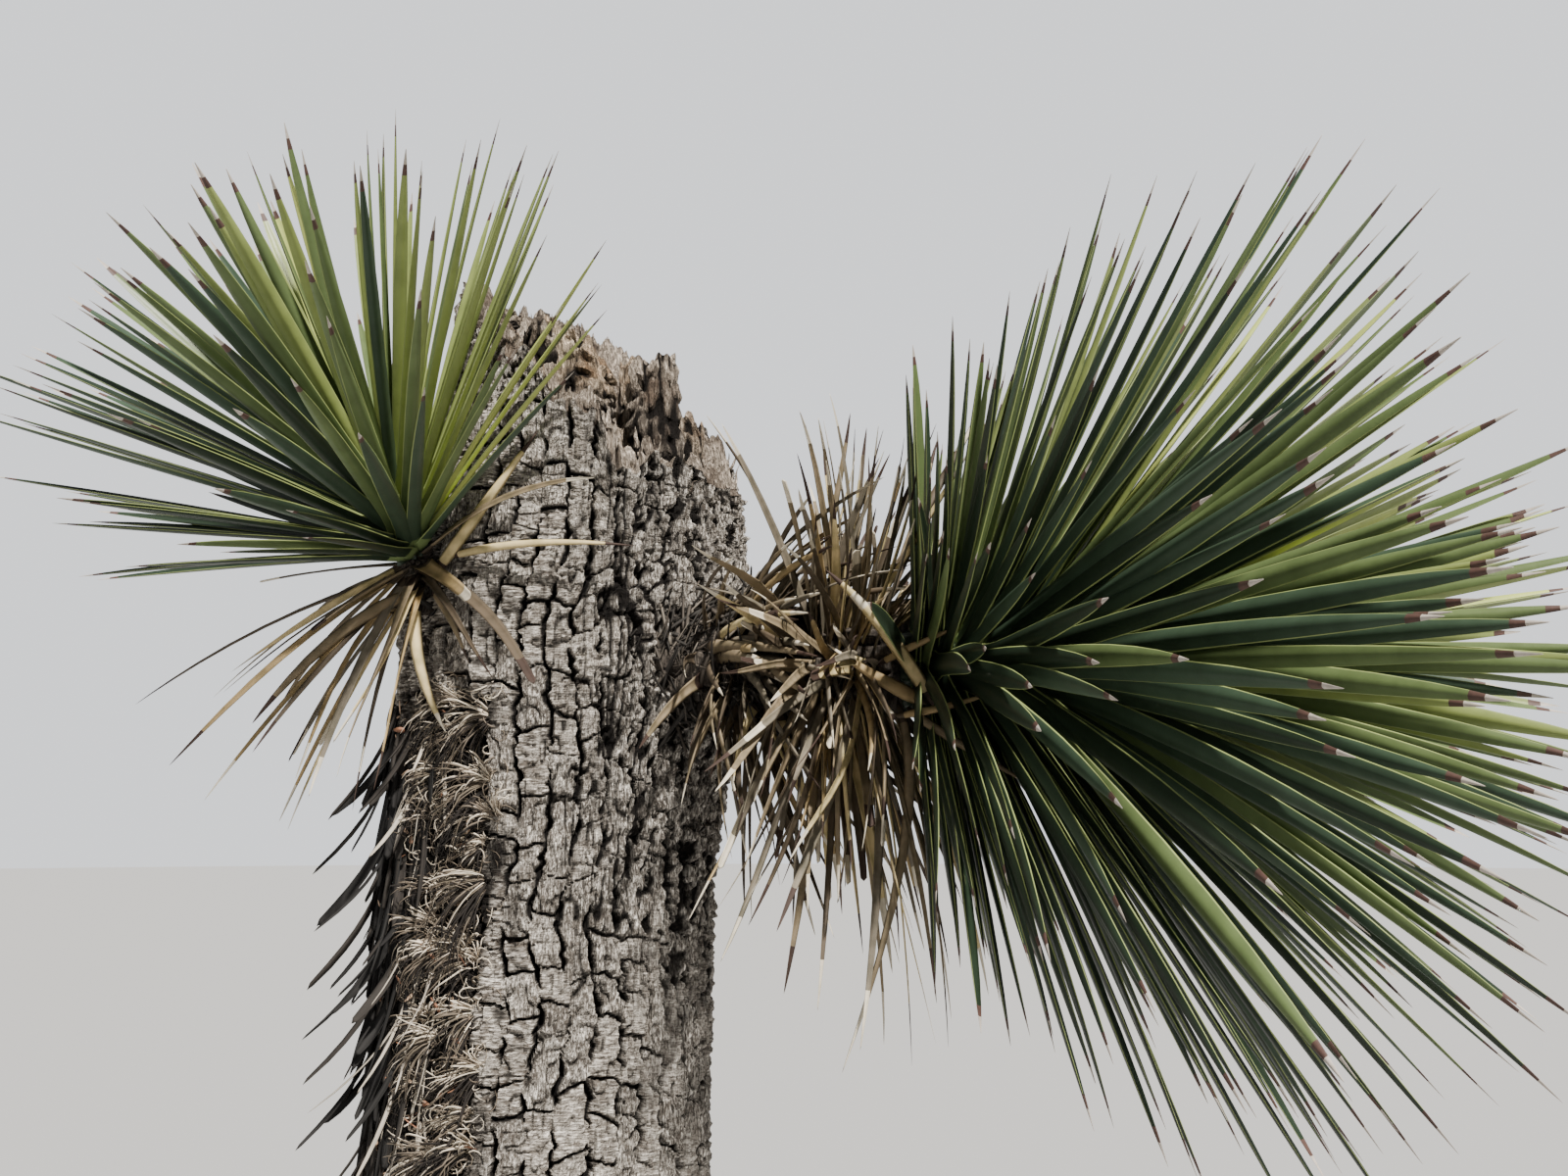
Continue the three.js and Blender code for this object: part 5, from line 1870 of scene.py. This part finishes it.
def make_curls(materials):
    """Loose curled fibres in every direction, which fill the strip between the tufts."""
    random = np.random.default_rng(CURL.seed)
    count = CURL.count
    even, bell = row_draws(random, count)
    stations = np.linspace(0, 1, len(CURL_WIDTHS))[None, :]
    angle = lerp(STRIP.front_angle, STRIP.tuft_back_angle, random.random((count, 1)))
    length = CURL.length * even(*CURL.lengths)
    heading = bell(CURL.heading_spread, math.pi)
    bend = random.choice([-1, 1], (count, 1)) * even(*CURL.bends)
    turned = heading + bend * stations
    along = length / bend * (np.sin(turned) - np.sin(heading))
    up = -length / bend * (np.cos(turned) - np.cos(heading))
    height = lerp(strip_low_end(angle), STRIP.high, random.random((count, 1))) + up
    out = CURL.reach * even(*CURL.reaches) * np.sin(stations * CURL.reach_turn)
    out = out - CURL.root_depth * (1 - stations)
    around = angle + along / TRUNK.chest_radius
    centres = trunk_points(np.clip(height, STRIP.low, STRIP.high), around, out)
    centres = centres + 1e-5 * stations[..., None]
    widths = 0.5 * CURL.width * even(*CURL.widths) * CURL_WIDTHS
    tone = random.choice(len(materials), count, p=CURL.tone_shares)
    strip_blades("leaf_base_curls", centres, frames_on_trunk(centres, around), widths,
                 HAIR_SECTION, materials, tone)


def make_straps(materials):
    """Remnants of whole leaves that hang down and outward from the strip, dark in their own colour and
    further as painted shade of the left flank.
    """
    random = np.random.default_rng(STRAP.seed)
    count = STRAP.count
    even, bell = row_draws(random, count)
    tone = random.choice(len(materials), count, p=STRAP.tone_shares)
    pale = tone == PALE_STRAP
    across = 1 - STRAP.across * random.random(count) ** STRAP.crowding
    across = np.where(pale, random.uniform(*STRAP.pale_across, count), across)
    angle = lerp(STRIP.front_angle, STRIP.back_angle, across)[:, None]
    length = STRAP.length * even(*STRAP.lengths)
    top = even(STRIP.low + STRAP.top_gap, STRIP.high)
    stations = np.linspace(0, 1, len(STRAP_WIDTHS))[None, :]
    z = top - even(*STRAP.hangs) * length * stations
    lifted = random.choice(STRAP.lifts, (count, 1), p=STRAP.lift_shares) * length
    out = STRAP.proud + lifted * stations ** STRAP.lift_power
    out = out - STRIP.root_depth * (1 - stations) ** STRIP.root_power
    drift = bell(STRAP.drift) * length * stations
    hook = STRAP.hook * even(0, 1) * np.exp(-stations / STRAP.hook_fade)
    centres = trunk_points(z, angle + (drift + hook) / TRUNK.chest_radius, out)
    side, lift = frames_along(centres, leftward(angle + 0 * stations))
    frames = twisted(side, lift, bell(STRAP.twist) * stations)
    width = STRAP.width * np.where(pale, STRAP.pale_width, 1.0)[:, None]
    widths = 0.5 * width * even(*STRAP.widths) * STRAP_WIDTHS
    strip_blades("hanging_straps", centres, frames, widths, DEAD_SECTION, materials, tone)


def make_chips(materials):
    """Small reddish-brown scales between the tufts."""
    random = np.random.default_rng(CHIP.seed)
    count = CHIP.count
    even, _ = row_draws(random, count)
    across = CHIP.first_across + CHIP.across * random.random((count, 1))
    angle = lerp(STRIP.front_angle, STRIP.back_angle, across)
    z = lerp(strip_low_end(angle), STRIP.high - CHIP.top_gap, random.random((count, 1)))
    stations = np.linspace(0, 1, len(CHIP_WIDTHS))[None, :]
    run = even(*CHIP.lengths) * stations
    out = even(*CHIP.proud) + CHIP.lift * run
    around = angle + run * even(-1, 1) / TRUNK.chest_radius
    centres = trunk_points(z + run * even(*CHIP.rises), around, out)
    frames = frames_along(centres, leftward(around) + UP * random.normal(0, 1, (count, 1, 1)))
    widths = even(*CHIP.widths) * CHIP_WIDTHS
    tone = random.integers(0, len(materials), count)
    strip_blades("leaf_base_chips", centres, frames, widths, CHIP_SECTION, materials, tone)


# Studio and camera

STUDIO = Sizes(
    floor_radius=60.0,
    camera_place=(0.197, -1.14, 1.55),
    camera_pitch=math.radians(98.8),
    focal_length=35.0,
    sensor_width=36.0,
    sun_place=(0.25, -0.6, 0.76),
    sun_size=math.radians(3),
    sun_strength=9.8,
    sun_tone=(1.0, 0.96, 0.9),
    sky_strength=0.26,
    sky_tone=(0.92, 0.94, 0.97, 1.0),
    backdrop_strength=1.3,
    floor_tone=0.42,
)


def add_sun():
    """One soft lamp far away, high at the front right."""
    data = bpy.data.lights.new("soft key light", "SUN")
    data.angle = STUDIO.sun_size
    data.energy = STUDIO.sun_strength
    data.color = STUDIO.sun_tone
    lamp = bpy.data.objects.new("soft key light", data)
    away = unit(np.array(STUDIO.sun_place))
    lamp.rotation_euler = (math.acos(away[2]), 0, math.atan2(away[1], away[0]) + math.pi / 2)
    bpy.context.scene.collection.objects.link(lamp)


def make_studio():
    """A plain pale floor, plain soft light and the camera at the photograph's angle."""
    world = bpy.data.worlds.new("pale surround")
    world.use_nodes = True
    shader = Shader(world.node_tree)
    sky = world.node_tree.nodes["Background"]
    seen = shader.node("ShaderNodeLightPath").outputs["Is Camera Ray"]
    strength = shader.node("ShaderNodeMix", None, _0=seen, _2=STUDIO.sky_strength,
                           _3=STUDIO.backdrop_strength).outputs[0]
    sky.inputs["Color"].default_value = STUDIO.sky_tone
    shader.put(sky, "Strength", strength)
    bpy.context.scene.world = world
    add_sun()

    material, _, surface = new_material("pale floor", roughness=0.9, specular=0.1)
    surface.inputs["Base Color"].default_value = (*[STUDIO.floor_tone] * 3, 1.0)
    bpy.ops.mesh.primitive_circle_add(vertices=96, radius=STUDIO.floor_radius, fill_type="NGON")
    floor = bpy.context.object
    floor.name = "floor"
    floor.data.materials.append(material)

    data = bpy.data.cameras.new("camera")
    data.lens = STUDIO.focal_length
    data.sensor_width = STUDIO.sensor_width
    camera = bpy.data.objects.new("camera", data)
    camera.location = STUDIO.camera_place
    camera.rotation_euler = (STUDIO.camera_pitch, 0, 0)
    bpy.context.scene.collection.objects.link(camera)
    bpy.context.scene.camera = camera


def make_trunk():
    bark = bark_material()
    torn = torn_wood_material()
    for band in BARK_BANDS:
        make_bark_band(band, bark)
    make_broken_top(torn)
    make_crags(torn)
    make_splinters(torn)


ARMS = [
    Sizes(limb="right_bough", path=BOUGH.path, radii=(BOUGH.root_radius, BOUGH.tip_radius),
          hairs=380, stubs=420, live="right_rosette", dead="right_dead_leaves"),
    Sizes(limb="left_spur", path=np.array([SPUR.root, SPUR.tip]),
          radii=(SPUR.root_radius, SPUR.tip_radius),
          hairs=70, stubs=40, live="left_rosette", dead="left_dead_leaves"),
]


def make_arms():
    """Both arms: the limb, the stems inside the masses, and their leaves."""
    matted = matted_material()
    fibres = plant_materials("limb fibre")
    greens = plant_materials("green") + plant_materials("green parts")
    deads = plant_materials("dead") + plant_materials("dead parts")
    for arm in ARMS:
        make_limb(arm.limb + "_surface", arm.limb, arm.path, (0, 1), arm.radii, matted)
        make_limb_fibres(arm.limb, arm.path, arm.radii, HAIRS, arm.hairs, fibres)
        make_limb_fibres(arm.limb, arm.path, arm.radii, STUBS, arm.stubs, fibres)
        # The stem inside the live rosette takes the deep green, the shade end of the green tones, as
        # painted shade.
        make_stem(arm.live, greens[0])
        make_stem(arm.dead, matted)
        live, dead = grow_arm(arm.live, arm.dead, arm.path, arm.radii[1])
        make_rosette(arm.live, live, greens)
        make_dead_leaves(arm.dead, dead, deads)
    make_odd_leaves(deads)
    make_sleeve(deads)


def make_strip():
    tufts = plant_materials("tuft")
    make_tufts(tufts)
    make_curls(tufts)
    make_straps(plant_materials("strap"))
    make_chips(plant_materials("chip"))


make_studio()
make_trunk()
make_arms()
make_strip()
